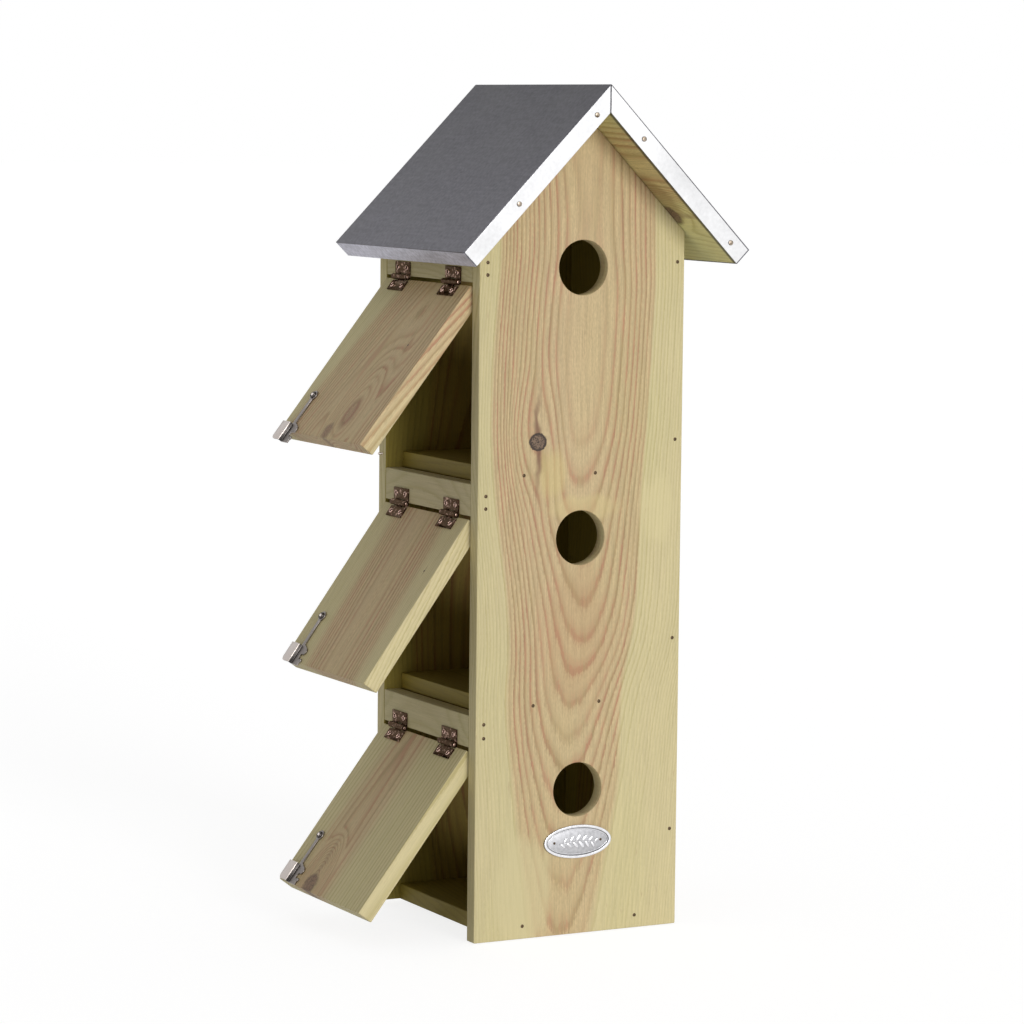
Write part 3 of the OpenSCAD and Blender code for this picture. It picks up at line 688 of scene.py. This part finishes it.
class NESTBOX_OT_walls(bpy.types.Operator):
    """Front, back and right side panels"""

    bl_idname = "nestbox.walls"
    bl_label = "Walls"

    def execute(self, context):
        thick = WALL_T / MM
        # Pale resin under the knot, patches that took more salt, redder heartwood where the arches
        # nest, and the cut walls of the entrances, lighter partly as cut wood and partly as painted light
        patches = [
            (-20, 290, 9, 13, "#cdbb80", 0.5, 1.0), (-38, 30, 20, 34, "#ccc093", 0.6, 0.4),
            (54, 265, 12, 20, "#d6c998", 0.5, 0.6), (2, 268, 22, 8, "#cfbd86", 0.45, 0.6),
            (-2, 190, 24, 44, "#b38c66", 0.3, 0.8),
        ]
        for floor, up in ENTRANCES.items():
            height = (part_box(floor)[1].z - BASE_Z) / MM + up
            patches.append((0, height, ENTRANCE_R, ENTRANCE_R, "#d5c797", 1.0, 0.02))
        # The front panel's rings close into arches that point down, below a plain middle
        front = pine(
            "Pine, planed: front panel", (0, FRONT_Y, BASE_Z), (X_AXIS, Y_AXIS, Z_AXIS),
            depth=((0, 62), (60, 57), (140, 48), (196, 40), (252, 32.5), (300, 24), (322, 20), (397, 18),
                   (434, 21.5), (512, 18)),
            middle=((0, -11), (90, -8), (140, -6), (196, 2), (280, -0.5), (366, 1.5), (430, 4.5), (512, 0)),
            ring=context.scene.nest_box_wood.ring / MM, outer=2.3, heart=66, skew=0.4,
            knots=((-30.5, 310, 6.2, 28, 0.0, 0),), seed=2.0, inner=thick, painted_left_shade=0.94,
            fade=(60, 170, 0.55, 1), patches=patches,
        )
        back = pine(
            "Pine, planed: back panel", (0, 0, BASE_Z), (-X_AXIS, -Y_AXIS, Z_AXIS),
            depth=((0, 30), (180, 22), (330, 36), (512, 44)), middle=((0, -8), (260, 6), (512, -4)),
            ring=4.6, heart=58, seed=11.0, inner=thick,
        )
        side = pine(
            "Pine, planed: right side panel", (HALF_W, FRONT_Y / 2, BASE_Z), (Y_AXIS, -X_AXIS, Z_AXIS),
            depth=((0, 22), (150, 30), (300, 46), (512, 34)), middle=((0, 10), (250, -6), (512, 4)),
            ring=3.9, heart=54, knots=((22, 205, 4.2, 20, 0.2, 0), (-30, 392, 3.4, 16, 0.4, 0)),
            seed=23.0, inner=thick,
        )
        board("front_panel", "front_board", front)
        board("back_panel", "back_board", back)
        board("right_side_panel", "side_board", side)
        return {"FINISHED"}


class NESTBOX_OT_rails_and_floors(bpy.types.Operator):
    """Hinge rails on the left side and the floors behind them"""

    bl_idname = "nestbox.rails_and_floors"
    bl_label = "Rails and floors"

    def execute(self, context):
        for k, storey in enumerate(STOREYS):
            rail = f"{RAIL_OF[storey]}_rail"
            low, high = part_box(rail)
            wood = pine(
                f"Pine, planed: {rail.replace('_', ' ')}",
                (low.x, (low.y + high.y) / 2, (low.z + high.z) / 2), (Z_AXIS, X_AXIS, Y_AXIS),
                depth=((-60, 34), (0, 42), (60, 38)), middle=((-60, 17 - 4 * k), (60, 22 - 6 * k)),
                ring=3.2, outer=2.2, heart=20, seed=31.0 + 7 * k, tone=0.86,
            )
            board(rail, f"{rail}_board", wood)
        # The floors are sawn and not planed. Their tint is partly the treatment's green and partly painted
        # shade, which darkens them inside the box
        for k, node in enumerate(("upper_floor", "middle_floor", "bottom_floor")):
            low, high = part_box(node)
            wood = pine(
                f"Pine, sawn: {node.replace('_', ' ')}", (0, (low.y + high.y) / 2, high.z),
                (X_AXIS, -Z_AXIS, Y_AXIS), depth=((-60, 30), (60, 36)),
                middle=((-60, 10 - 9 * k), (60, 4)), ring=3.6, heart=40, seed=53.0 + 5 * k,
                stain=linear("#b9ae5e"),
            )
            board(node, f"{node}_board", wood)
        return {"FINISHED"}


def slope_axes(side):
    """The axes of a roof board: across, out of the soffit and down the slope."""
    eave_x = max(p.x for p in points_of("right_roof_board") if p.z < EAVE.z + MM)
    down = Vector((eave_x, 0, EAVE.z - PEAK_Z)).normalized()
    down.x *= side
    out = Vector((-down.z * side, 0, abs(down.x)))
    return out.cross(down), out, down


class NESTBOX_OT_roof_boards(bpy.types.Operator):
    """The two roof boards under the zinc"""

    bl_idname = "nestbox.roof_boards"
    bl_label = "Roof boards"

    def execute(self, context):
        overhang = OVERHANG / MM
        for side, name, knots, patches in (
            (-1, "left", ((-70, -60, 4, 20, 0.5, 6),), ()),
            (1, "right", ((88, 2, 8, 30, 0.3, 20),), ((72, 4, 18, 14, "#8f7446", 0.55, 0.7),)),
        ):
            across, out, down = slope_axes(side)
            # A painted shadow darkens each board near its front end, under the verge flange
            wood = pine(
                f"Pine, sawn: {name} roof board", (0, FRONT_Y, PEAK_Z), (side * down, out, -side * across),
                depth=((-180, 30), (0, 36), (180, 30)),
                middle=((-180, 40 * side), (0, 46 * side), (180, 60 * side)), ring=3.2, outer=3.0,
                heart=50, blend=8.0, knots=knots, patches=patches, seed=71.0 + side, tone=1.3, late=1.2,
                stain=linear("#f4fff0"), painted_end_shadow=(overhang - 4.2, overhang - 2.6, 1, 0.25),
            )
            board(f"{name}_roof_board", f"{name}_roof_deal", wood)
        return {"FINISHED"}


class NESTBOX_OT_zinc_roof(bpy.types.Operator):
    """Folded zinc sheet with eave lips and mitred verge flanges"""

    bl_idname = "nestbox.zinc_roof"
    bl_label = "Zinc roof"

    def execute(self, context):
        roof = context.scene.nest_box_roof
        _, out, down = slope_axes(1)
        points = points_of("zinc_roof_sheet")
        top = max(points, key=lambda c: c.dot(out) + 0.01 * c.dot(down))
        low = max(points, key=lambda c: c.dot(down) - 0.01 * c.dot(out))
        front, rear, peak = ROOF_LOW.y, ROOF_HIGH.y, ROOF_HIGH.z
        edge = 0.3 * SHEET_T
        sheet = ("box", "zinc", "zinc_roof_sheet")
        # Painted reflection: dark grey on the slopes, paler on the lips and bright on the verges of one
        # sheet
        slope = zinc(
            "Zinc, rolled: slopes in painted dark reflection", roof.slope, 0.5, darker_to_peak=(top.z, peak, 1, 0.6)
        )
        # Painted shade darkens the edges of the lips and verges
        lip = zinc("Zinc, rolled: lips", roof.lip, 0.5, metallic=0.5, painted_edge_shade=0.22)
        verge = zinc("Zinc, rolled: verges in painted bright reflection", roof.verge, 0.35, painted_edge_shade=0.16, mottle=0.25)

        # Slopes: an open sheet folded at the ridge and thickened downwards
        bm = bmesh.new()
        rows = [
            [bm.verts.new((x, y, z)) for x, z in ((-top.x, top.z), (0, peak), (top.x, top.z))]
            for y in (front, rear)
        ]
        for i in range(2):
            bm.faces.new((rows[0][i], rows[0][i + 1], rows[1][i + 1], rows[1][i]))
        bmesh.ops.recalc_face_normals(bm, faces=bm.faces)
        if bm.faces[:][0].normal.z < 0:
            bmesh.ops.reverse_faces(bm, faces=bm.faces)
        ridge = [e for e in bm.edges if all(abs(v.co.x) < SAME_POINT for v in e.verts)]
        ease(bm, ridge, roof.fold, segments=3)
        bmesh.ops.solidify(bm, geom=bm.faces[:], thickness=SHEET_T)
        bmesh.ops.recalc_face_normals(bm, faces=bm.faces)
        ends = [
            e for e in bm.edges
            if e.calc_face_angle(0) > SQUARE and abs(e.calc_length() - (rear - front)) > MM
        ]
        ease(bm, ends, edge, clamp=True)
        finish_piece(bm, "zinc_slopes", slope, *sheet)

        # Lips: the sheet turned down over the ends of the boards at the eaves
        under = Vector((top.x, 0, top.z)) - SHEET_T * out
        under_peak = peak - SHEET_T / out.z
        foot = Vector((low.x, 0, low.z))
        size = Matrix.Diagonal((SHEET_T, rear - front, (under - foot).length, 1))
        turn = Matrix((down, Y_AXIS, out)).transposed().to_4x4()
        middle = (under + foot) / 2 - down * SHEET_T / 2
        middle.y = (front + rear) / 2
        for side, name in ((-1, "left"), (1, "right")):
            bm = block(Matrix.Translation(middle) @ turn @ size)
            if side < 0:
                bmesh.ops.scale(bm, vec=(-1, 1, 1), verts=bm.verts)
            bmesh.ops.recalc_face_normals(bm, faces=bm.faces)
            ease(bm, bm.edges[:], edge)
            facing = Vector((side * down.x, 0, down.z))
            finish_piece(bm, f"zinc_{name}_lip", lip, *sheet, facing=facing)

        # Verges: a flange down each slope, mitred at the peak with a hair's gap over a dark strip of
        # painted shade
        gap = 0.0004
        end_low, end_high = low - SHEET_T * down, under - SHEET_T * down
        outline = ((gap, PEAK_Z), (end_low.x, end_low.z), (end_high.x, end_high.z), (gap, under_peak))
        tall = under_peak - PEAK_Z - 2 * gap
        for end, y0 in (("front", front), ("rear", rear - SHEET_T)):
            for side, name in ((-1, "left"), (1, "right")):
                bm = bmesh.new()
                face = bm.faces.new([bm.verts.new((side * x, y0, z)) for x, z in outline])
                thicken(bm, [face], (0, SHEET_T, 0))
                ease(bm, bm.edges[:], edge)
                finish_piece(bm, f"zinc_{end}_{name}_verge", verge, *sheet, facing=Y_AXIS)
            # The dark strip behind the gap is painted shade
            place = Matrix.Translation((0, y0 + SHEET_T / 2, under_peak - gap - tall / 2))
            bm = block(place @ Matrix.Diagonal((2 * gap, 0.5 * SHEET_T, tall, 1)))
            ease(bm, bm.edges[:], 0.1 * SHEET_T, segments=1)
            finish_piece(bm, f"zinc_{end}_gap_shade_strip", slope, *sheet)
        return {"FINISHED"}


class NESTBOX_OT_doors(bpy.types.Operator):
    """The three clean-out doors"""

    bl_idname = "nestbox.doors"
    bl_label = "Doors"

    def execute(self, context):
        looks = {
            # Slanting grain with a mottled knot and a pink one near the bottom edge, and a pin knot
            "top": dict(
                depth=((-125, 24), (-60, 30), (5, 34)), middle=((-125, 6), (-60, 14), (5, 26)), ring=3.6,
                outer=2.6, heart=62, blend=6.0, late=1.2,
                knots=((19.5, -101.5, 7.5, 34, 0.95, 26), (5.3, -115.8, 5.0, 18, 0.6, 6),
                       (32.0, -47.7, 0.8, 3, 0.0, 0)),
                patches=((33, -48, 2.2, 7, "#a8805f", 0.6, 0.6),),
            ),
            # A brown stripe of straight grain down the middle, and a pin knot
            "middle": dict(
                depth=((-125, 34), (5, 34)), middle=((-125, 10), (5, -2)), ring=2.6, outer=1.6, heart=50,
                blend=5.0, late=1.25, knots=((44.9, -40.2, 0.8, 3, 0.0, 0),),
            ),
            # Close arches pointing up, nested over a knot near the bottom edge
            "bottom": dict(
                depth=((-125, 20), (5, 24)), middle=((-125, -17), (5, -13)), ring=3.6, outer=3.5, heart=32,
                blend=6.0, late=1.6, knots=((-18.3, -116.5, 7.5, 20, 0.35, 44),),
            ),
        }
        for k, storey in enumerate(STOREYS):
            body = f"{storey}_door"
            axes = door_axes(storey)
            pin = Vector(joint_of(body)["pos_m"])
            face_at = min((p - pin).dot(axes[1]) for p in points_of(f"{body}_board"))
            low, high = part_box(f"{body}_board")
            origin = Vector((pin.x, (low.y + high.y) / 2, pin.z)) + axes[1] * face_at
            wood = pine(f"Pine, planed: {storey} door", origin, axes, seed=91.0 + 13 * k, **looks[storey])
            board(f"{body}_board", f"{storey}_door_leaf_board", wood, body)
        return {"FINISHED"}


def screw_heads(node, facing, size, look, cup_look, body, slot, dome=0.3, inner=0.6):
    """Gives each screw of a CAD node a turned head: a domed rim round a middle of another look.

    Size is the head's radius and height. Inner is the middle's share of the radius, and dome its height
    as a share of the head's.
    """
    radius, height = size
    # The rim goes over the head and down the shank
    rim, cup = (
        [(r * radius, h * height) for r, h in profile]
        for profile in (
            ((inner, 0.25), (inner + 0.05, 0.85), (inner + 0.14, 1), (0.9, 0.75), (1, 0.2), (1, 0),
             (0.55, 0), (0.5, -3.5), (0, -4)),
            ((0, dome), (0.6 * inner, 0.9 * dome + 0.03), (inner + 0.02, 0.26)),
        )
    )
    bm = merged(node)
    rims, cups = [], []
    for shell in shells(bm):
        top = max(v.co.dot(facing) for v in shell)
        centre = sum((v.co for v in shell), Vector()) / len(shell)
        centre += facing * (top - centre.dot(facing) - height)
        rims.append(spun(rim, centre, facing))
        cups.append(spun(cup, centre, facing))
    bm.free()
    finish_piece(joined(rims), f"{node}_rims", look, body, slot, node, smooth=True)
    finish_piece(joined(cups), f"{node}_cups", cup_look, body, slot, node, smooth=True)


class NESTBOX_OT_hinges(bpy.types.Operator):
    """Bronzed butt hinges with their pins and screws"""

    bl_idname = "nestbox.hinges"
    bl_label = "Hinges"

    def execute(self, context):
        finish = context.scene.nest_box_metal
        slot = "bronzed_steel"
        # Bronzing leaves a dark brown film that rubs off to pinkish metal on the high spots
        bronze = metal(
            "Steel, bronzed: hinges", finish.bronze, 0.42, worn=finish.bronze_worn, grain=700.0,
            spread=0.65, wear=0.575, relief=0.35, slant=(0.97, 0.85, 0.72),
        )
        # The driver rubs the heads bright, lighter still with painted highlight; their middles are painted
        # shade, darker still where they mirror at a slant
        bright = metal(
            "Steel, bronzed and rubbed: screws", shade(finish.bronze_worn, 1.3), 0.32, spread=0.25
        )
        dark = metal("Steel, bronzed: screw middles in painted shade", shade(finish.bronze, 0.35), 0.6, slant=(0.5, 0.4, 0.3))
        for storey in STOREYS:
            inward = door_axes(storey)[1]
            rail, door = f"{RAIL_OF[storey]}_rail", f"{storey}_door"
            fitting(f"{rail}_leaves", finish.edge, bronze, "box", slot, LEAF_HOLE_EDGE)
            fitting(f"{door}_leaves", finish.edge, bronze, door, slot, LEAF_HOLE_EDGE)
            fitting(f"{storey}_hinge_pins", finish.edge, bright, "box", slot)
            screw_heads(f"{rail}_screws", -X_AXIS, HINGE_SCREW, bright, dark, "box", slot)
            screw_heads(f"{door}_screws", -inward, HINGE_SCREW, bright, dark, door, slot)
        return {"FINISHED"}


class NESTBOX_OT_hooks(bpy.types.Operator):
    """Swing hooks with their screws and keeper pins"""

    bl_idname = "nestbox.hooks"
    bl_label = "Hooks"

    def execute(self, context):
        finish = context.scene.nest_box_metal
        slot = "nickel_steel"
        # Nickel plating is smooth and a little warm, and the dark rim round the screw's head is painted
        # shade
        nickel = metal("Steel, nickel-plated: keeper pins", finish.nickel, 0.35, relief=0.05)
        head = metal("Steel, nickel-plated: screw heads", shade(finish.nickel, 1.1), 0.2, relief=0.03)
        dark = metal("Steel, nickel-plated: screw rims in painted shade", shade(finish.nickel, 0.12), 0.35, relief=0.05)
        # Painted light along the hook's depth from the tab: a light tab with a painted highlight at its
        # edge, painted shade in the bend behind it, and a darker arm
        tones = ((0, 0.74), (0.3, 0.9), (0.5, 0.07), (2.2, 0.05), (2.6, 0.4), (4, 0.55))
        for storey in STOREYS:
            inward = door_axes(storey)[1]
            hook = f"{storey}_hook"
            tab = min(points_of(hook), key=lambda c: c.dot(inward))
            satin = metal(
                f"Steel, nickel-plated: {storey} hook", finish.nickel, 0.35, spread=0.05, relief=0.05,
                painted_light_layers=(tab, inward, tones),
            )
            fitting(hook, finish.edge, satin, f"{storey}_latch", slot)
            screw_heads(
                f"{hook}_screw", -inward, HOOK_SCREW, dark, head, f"{storey}_door", slot, dome=1.2
            )
        fitting("keeper_pins", 2 * finish.edge, nickel, "box", slot)
        return {"FINISHED"}


class NESTBOX_OT_nails(bpy.types.Operator):
    """Nails in the panels, the roof boards and the verge flanges"""

    bl_idname = "nestbox.nails"
    bl_label = "Nails"

    def execute(self, context):
        finish = context.scene.nest_box_metal
        # Drawn wire browns out of doors; painted shade darkens the faces round the head's edge
        dull = metal(
            "Steel, bright wire: panel nails", finish.nail, 0.5, worn=shade(finish.nail, 0.6), rim=0.3
        )
        shiny = metal(
            "Steel, bright wire: verge nails", finish.verge_nail, 0.35, worn=finish.nail, rim=0.1
        )
        for node, look in (
            ("front_panel_nails", dull), ("back_panel_nails", dull), ("roof_board_nails", dull),
            ("roof_sheet_nails", shiny),
        ):
            fitting(node, NAIL_EASE, look, "box", "nail_steel", facing=Y_AXIS)
        return {"FINISHED"}


def oval(half_w, half_h, low, high, wide=None):
    """An oval disc between two heights, or a ring of it where its width is given."""
    bm = bmesh.new()
    bmesh.ops.create_circle(
        bm, cap_ends=True, radius=1.0, segments=96,
        matrix=Matrix.Translation((0, 0, low)) @ Matrix.Diagonal((half_w, half_h, 1, 1)),
    )
    if wide is not None:
        middle = bm.faces[:]
        bmesh.ops.inset_region(
            bm, faces=middle, thickness=wide, depth=0.0, use_boundary=True, use_even_offset=True
        )
        bmesh.ops.delete(bm, geom=middle, context="FACES")
    tall = high - low
    thicken(bm, bm.faces[:], (0, 0, tall))
    top = [
        e for e in bm.edges
        if e.calc_face_angle(0) > SQUARE and all(v.co.z > low + 0.5 * tall for v in e.verts)
    ]
    ease(bm, top, 0.4 * tall, segments=3)
    return bm


def sprig(height, leaf_height):
    """A stem with a slight bend and pairs of leaves along it, at a height, as separate bmeshes."""
    stem_r, bend, pairs = 0.0003, 0.06, 6
    sweep = 0.026 / bend
    leaf_length, leaf_turn = 0.0029, math.radians(48)
    bm = bmesh.new()
    upright = Matrix.Translation((bend, 0, 0)) @ Matrix.Rotation(QUARTER, 4, "X")
    ring = bmesh.ops.create_circle(bm, segments=8, radius=stem_r, matrix=upright)
    bmesh.ops.rotate(bm, verts=bm.verts, cent=(0, 0, 0), matrix=Matrix.Rotation(-sweep / 2, 3, "Z"))
    bmesh.ops.spin(
        bm, geom=ring["verts"] + bm.edges[:], cent=(0, 0, 0), axis=(0, 0, 1), angle=sweep, steps=24
    )
    bmesh.ops.rotate(bm, verts=bm.verts, cent=(0, 0, 0), matrix=Matrix.Rotation(QUARTER, 3, "Z"))
    bmesh.ops.translate(bm, verts=bm.verts, vec=(0, -bend, height + 0.3 * stem_r))
    bmesh.ops.holes_fill(bm, edges=[e for e in bm.edges if e.is_boundary])
    bmesh.ops.recalc_face_normals(bm, faces=bm.faces)
    meshes = [bm]
    for k in range(2 * pairs):
        side = 1 if k % 2 else -1
        along = (k - pairs + 0.5) / pairs
        turn = along * sweep / 2
        on_stem = Vector((bend * math.sin(turn), bend * math.cos(turn) - bend, height))
        length = leaf_length * (1 - 0.35 * abs(along))
        heading = Matrix.Rotation(side * leaf_turn - turn, 4, "Z")
        out_by = heading @ Vector((1.05 * length, 0, 0))
        shape = Matrix.Diagonal((length, 0.42 * length, leaf_height, 1))
        bm = bmesh.new()
        bmesh.ops.create_uvsphere(
            bm, u_segments=14, v_segments=8, radius=1.0,
            matrix=Matrix.Translation(on_stem + out_by) @ heading @ shape,
        )
        meshes.append(bm)
    return meshes


class NESTBOX_OT_plate(bpy.types.Operator):
    """Oval plate with a raised rim and a sprig, and its two pins"""

    bl_idname = "nestbox.plate"
    bl_label = "Plate"

    def execute(self, context):
        finish = context.scene.nest_box_metal
        # Stamping polishes what it raises and mattes the field. Painted highlight lightens the raised
        # parts, painted shade darkens their sides, and the groove is a dark ring of painted shade
        bright = metal(
            "Aluminium, stamped: raised parts", shade(finish.plate, 1.15), 0.28, spread=0.04, relief=0.1,
            rim=0.3,
        )
        dull = metal(
            "Aluminium, stamped: sunk field", shade(finish.plate, 0.68), 0.4, grain=500.0, relief=0.1
        )
        groove = metal("Aluminium, stamped: groove in painted shade", shade(finish.plate, 0.24), 0.5)
        pin = metal("Steel, dulled: plate pins", shade(finish.nail, 0.8), 0.45)
        low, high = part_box("oval_plate")
        size, centre = high - low, (low + high) / 2
        # Ovals by how far they lie within the plate's outline, where they start and end in its
        # thickness and how wide they are: the sunk field, the groove, the bead beside it and the rim
        deep = 0.65 * size.y
        field, trough, bead, rim = (
            oval(size.x / 2 - inset, size.z / 2 - inset, start, end * size.y, wide)
            for inset, start, end, wide in (
                (0.0002, 0, 0.65, None), (0.0016, deep, 0.7, 0.0006), (0.0026, deep, 0.85, 0.0004),
                (0, deep, 1, 0.0017),
            )
        )
        relief = joined([rim, bead, *sprig(deep, 0.3 * size.y)])
        seat = Matrix.Translation((centre.x, high.y, centre.z)) @ Matrix.Rotation(QUARTER, 4, "X")
        for bm, name, look in (
            (field, "oval_plate_field", dull), (relief, "oval_plate_relief", bright),
            (trough, "oval_plate_groove", groove),
        ):
            bmesh.ops.transform(bm, matrix=seat, verts=bm.verts)
            finish_piece(bm, name, look, "box", "silver_plate", "oval_plate", smooth=True, facing=Y_AXIS)
        fitting("plate_pins", PIN_EASE, pin, "box", "nail_steel")
        return {"FINISHED"}


def seen_rays(tree):
    """1 for what the camera, a mirror or a pane sees directly, and 0 for the light on the object."""
    path = add(tree, "LightPath")
    seen = path.outputs["Is Camera Ray"]
    for ray in ("Is Glossy Ray", "Is Transmission Ray"):
        seen = add(tree, "Math", (seen, path.outputs[ray]), operation="MAXIMUM")
    return seen


class NESTBOX_OT_stage(bpy.types.Operator):
    """Floor, lamp, world and the photograph's camera"""

    bl_idname = "nestbox.stage"
    bl_label = "Stage"

    def execute(self, context):
        stage = context.scene.nest_box_stage
        scene = context.scene
        bm = bmesh.new()
        bmesh.ops.create_grid(bm, x_segments=1, y_segments=1, size=30.0)
        bmesh.ops.translate(bm, vec=(0, 0, BASE_Z - FLOOR_GAP), verts=bm.verts)
        mesh = bpy.data.meshes.new("floor")
        bm.to_mesh(mesh)
        bm.free()
        material, tree, shader = new_material("Paper backdrop, matt", Roughness=0.9)
        # Paper has a faint tooth, drawn 3 mm wide, coarser than it is
        place = add(tree, "TexCoord").outputs["Object"]
        tooth = add(tree, "TexNoise", (place, 300, 2))
        tooth = add(tree, "MapRange", (tooth, 0, 1, 0.995, 1))
        paper = add(tree, "Mix", (1.0, shade(stage.floor), tooth), **TINT)
        tree.links.new(output_of(paper), shader.inputs["Base Color"])
        # To the eye the floor is as white as the backdrop, and still takes the box's shadow
        glow_share, glow_strength = 0.65, 1.27
        share = add(tree, "Math", (seen_rays(tree), glow_share), operation="MULTIPLY")
        glow = add(tree, "Emission", ((1, 1, 1, 1), glow_strength))
        both = add(tree, "MixShader", (share, shader, glow))
        tree.links.new(output_of(both), tree.nodes["Material Output"].inputs["Surface"])
        mesh.materials.append(material)
        floor = bpy.data.objects.new("floor", mesh)
        scene.collection.objects.link(floor)

        world = bpy.data.worlds.new("Studio")
        world.use_nodes = True
        tree = world.node_tree
        strength = add(tree, "MapRange", (seen_rays(tree), 0, 1, stage.ambient, 1))
        sky = tree.nodes["Background"]
        sky.inputs["Color"].default_value = (1, 1, 1, 1)
        tree.links.new(output_of(strength), sky.inputs["Strength"])
        scene.world = world

        lamp = bpy.data.lights.new("Key", "SUN")
        lamp.energy = stage.key
        lamp.angle = math.radians(24)
        key = bpy.data.objects.new("Key", lamp)
        towards = Vector((0.05, -0.97, 0.2)).normalized()
        key.rotation_euler = towards.to_track_quat("Z", "Y").to_euler()
        key.location = towards * 2
        scene.collection.objects.link(key)

        # The photograph's camera: stand, heading, dip and roll
        stand = Vector((-1.13126, -2.19692, 0.04187))
        heading, dip, roll = (math.radians(turn) for turn in (27.7614, 6.01226, 0.572853))
        ahead = Vector(
            (math.sin(heading) * math.cos(dip), math.cos(heading) * math.cos(dip), -math.sin(dip))
        )
        level = Vector((math.cos(heading), -math.sin(heading), 0))
        plumb = level.cross(ahead)
        right = math.cos(roll) * level + math.sin(roll) * plumb
        up = math.cos(roll) * plumb - math.sin(roll) * level
        camera = bpy.data.objects.new("Camera", bpy.data.cameras.new("Camera"))
        camera.data.lens = stage.lens
        camera.data.sensor_width = 36
        camera.matrix_world = Matrix.Translation(stand) @ Matrix((right, up, -ahead)).transposed().to_4x4()
        scene.collection.objects.link(camera)
        scene.camera = camera
        scene.view_settings.view_transform = "Standard"
        return {"FINISHED"}


class NESTBOX_PT_sidebar(bpy.types.Panel):
    """Lists the nest box's pieces in the sidebar"""

    bl_idname = "NESTBOX_PT_sidebar"
    bl_label = "Nest Box"
    bl_space_type = "VIEW_3D"
    bl_region_type = "UI"
    bl_category = "Nest Box"

    def draw(self, context):
        for operator in OPERATORS:
            self.layout.operator(operator.bl_idname)
        for group, _ in GROUPS:
            settings = getattr(context.scene, group)
            for name in settings.__annotations__:
                self.layout.prop(settings, name)


GROUPS = (
    ("nest_box_wood", NestBoxWood), ("nest_box_roof", NestBoxRoof), ("nest_box_metal", NestBoxMetal),
    ("nest_box_stage", NestBoxStage),
)
OPERATORS = (
    NESTBOX_OT_walls, NESTBOX_OT_rails_and_floors, NESTBOX_OT_roof_boards, NESTBOX_OT_zinc_roof,
    NESTBOX_OT_doors, NESTBOX_OT_hinges, NESTBOX_OT_hooks, NESTBOX_OT_nails, NESTBOX_OT_plate,
    NESTBOX_OT_stage,
)


def register():
    for name, kind in GROUPS:
        bpy.utils.register_class(kind)
        setattr(bpy.types.Scene, name, PointerProperty(type=kind))
    for kind in OPERATORS + (NESTBOX_PT_sidebar,):
        bpy.utils.register_class(kind)


def unregister():
    for kind in (NESTBOX_PT_sidebar,) + tuple(reversed(OPERATORS)):
        bpy.utils.unregister_class(kind)
    for name, kind in reversed(GROUPS):
        delattr(bpy.types.Scene, name)
        bpy.utils.unregister_class(kind)


def main():
    register()
    for operator in OPERATORS:
        group, name = operator.bl_idname.split(".")
        getattr(getattr(bpy.ops, group), name)()


if __name__ == "__main__":
    main()
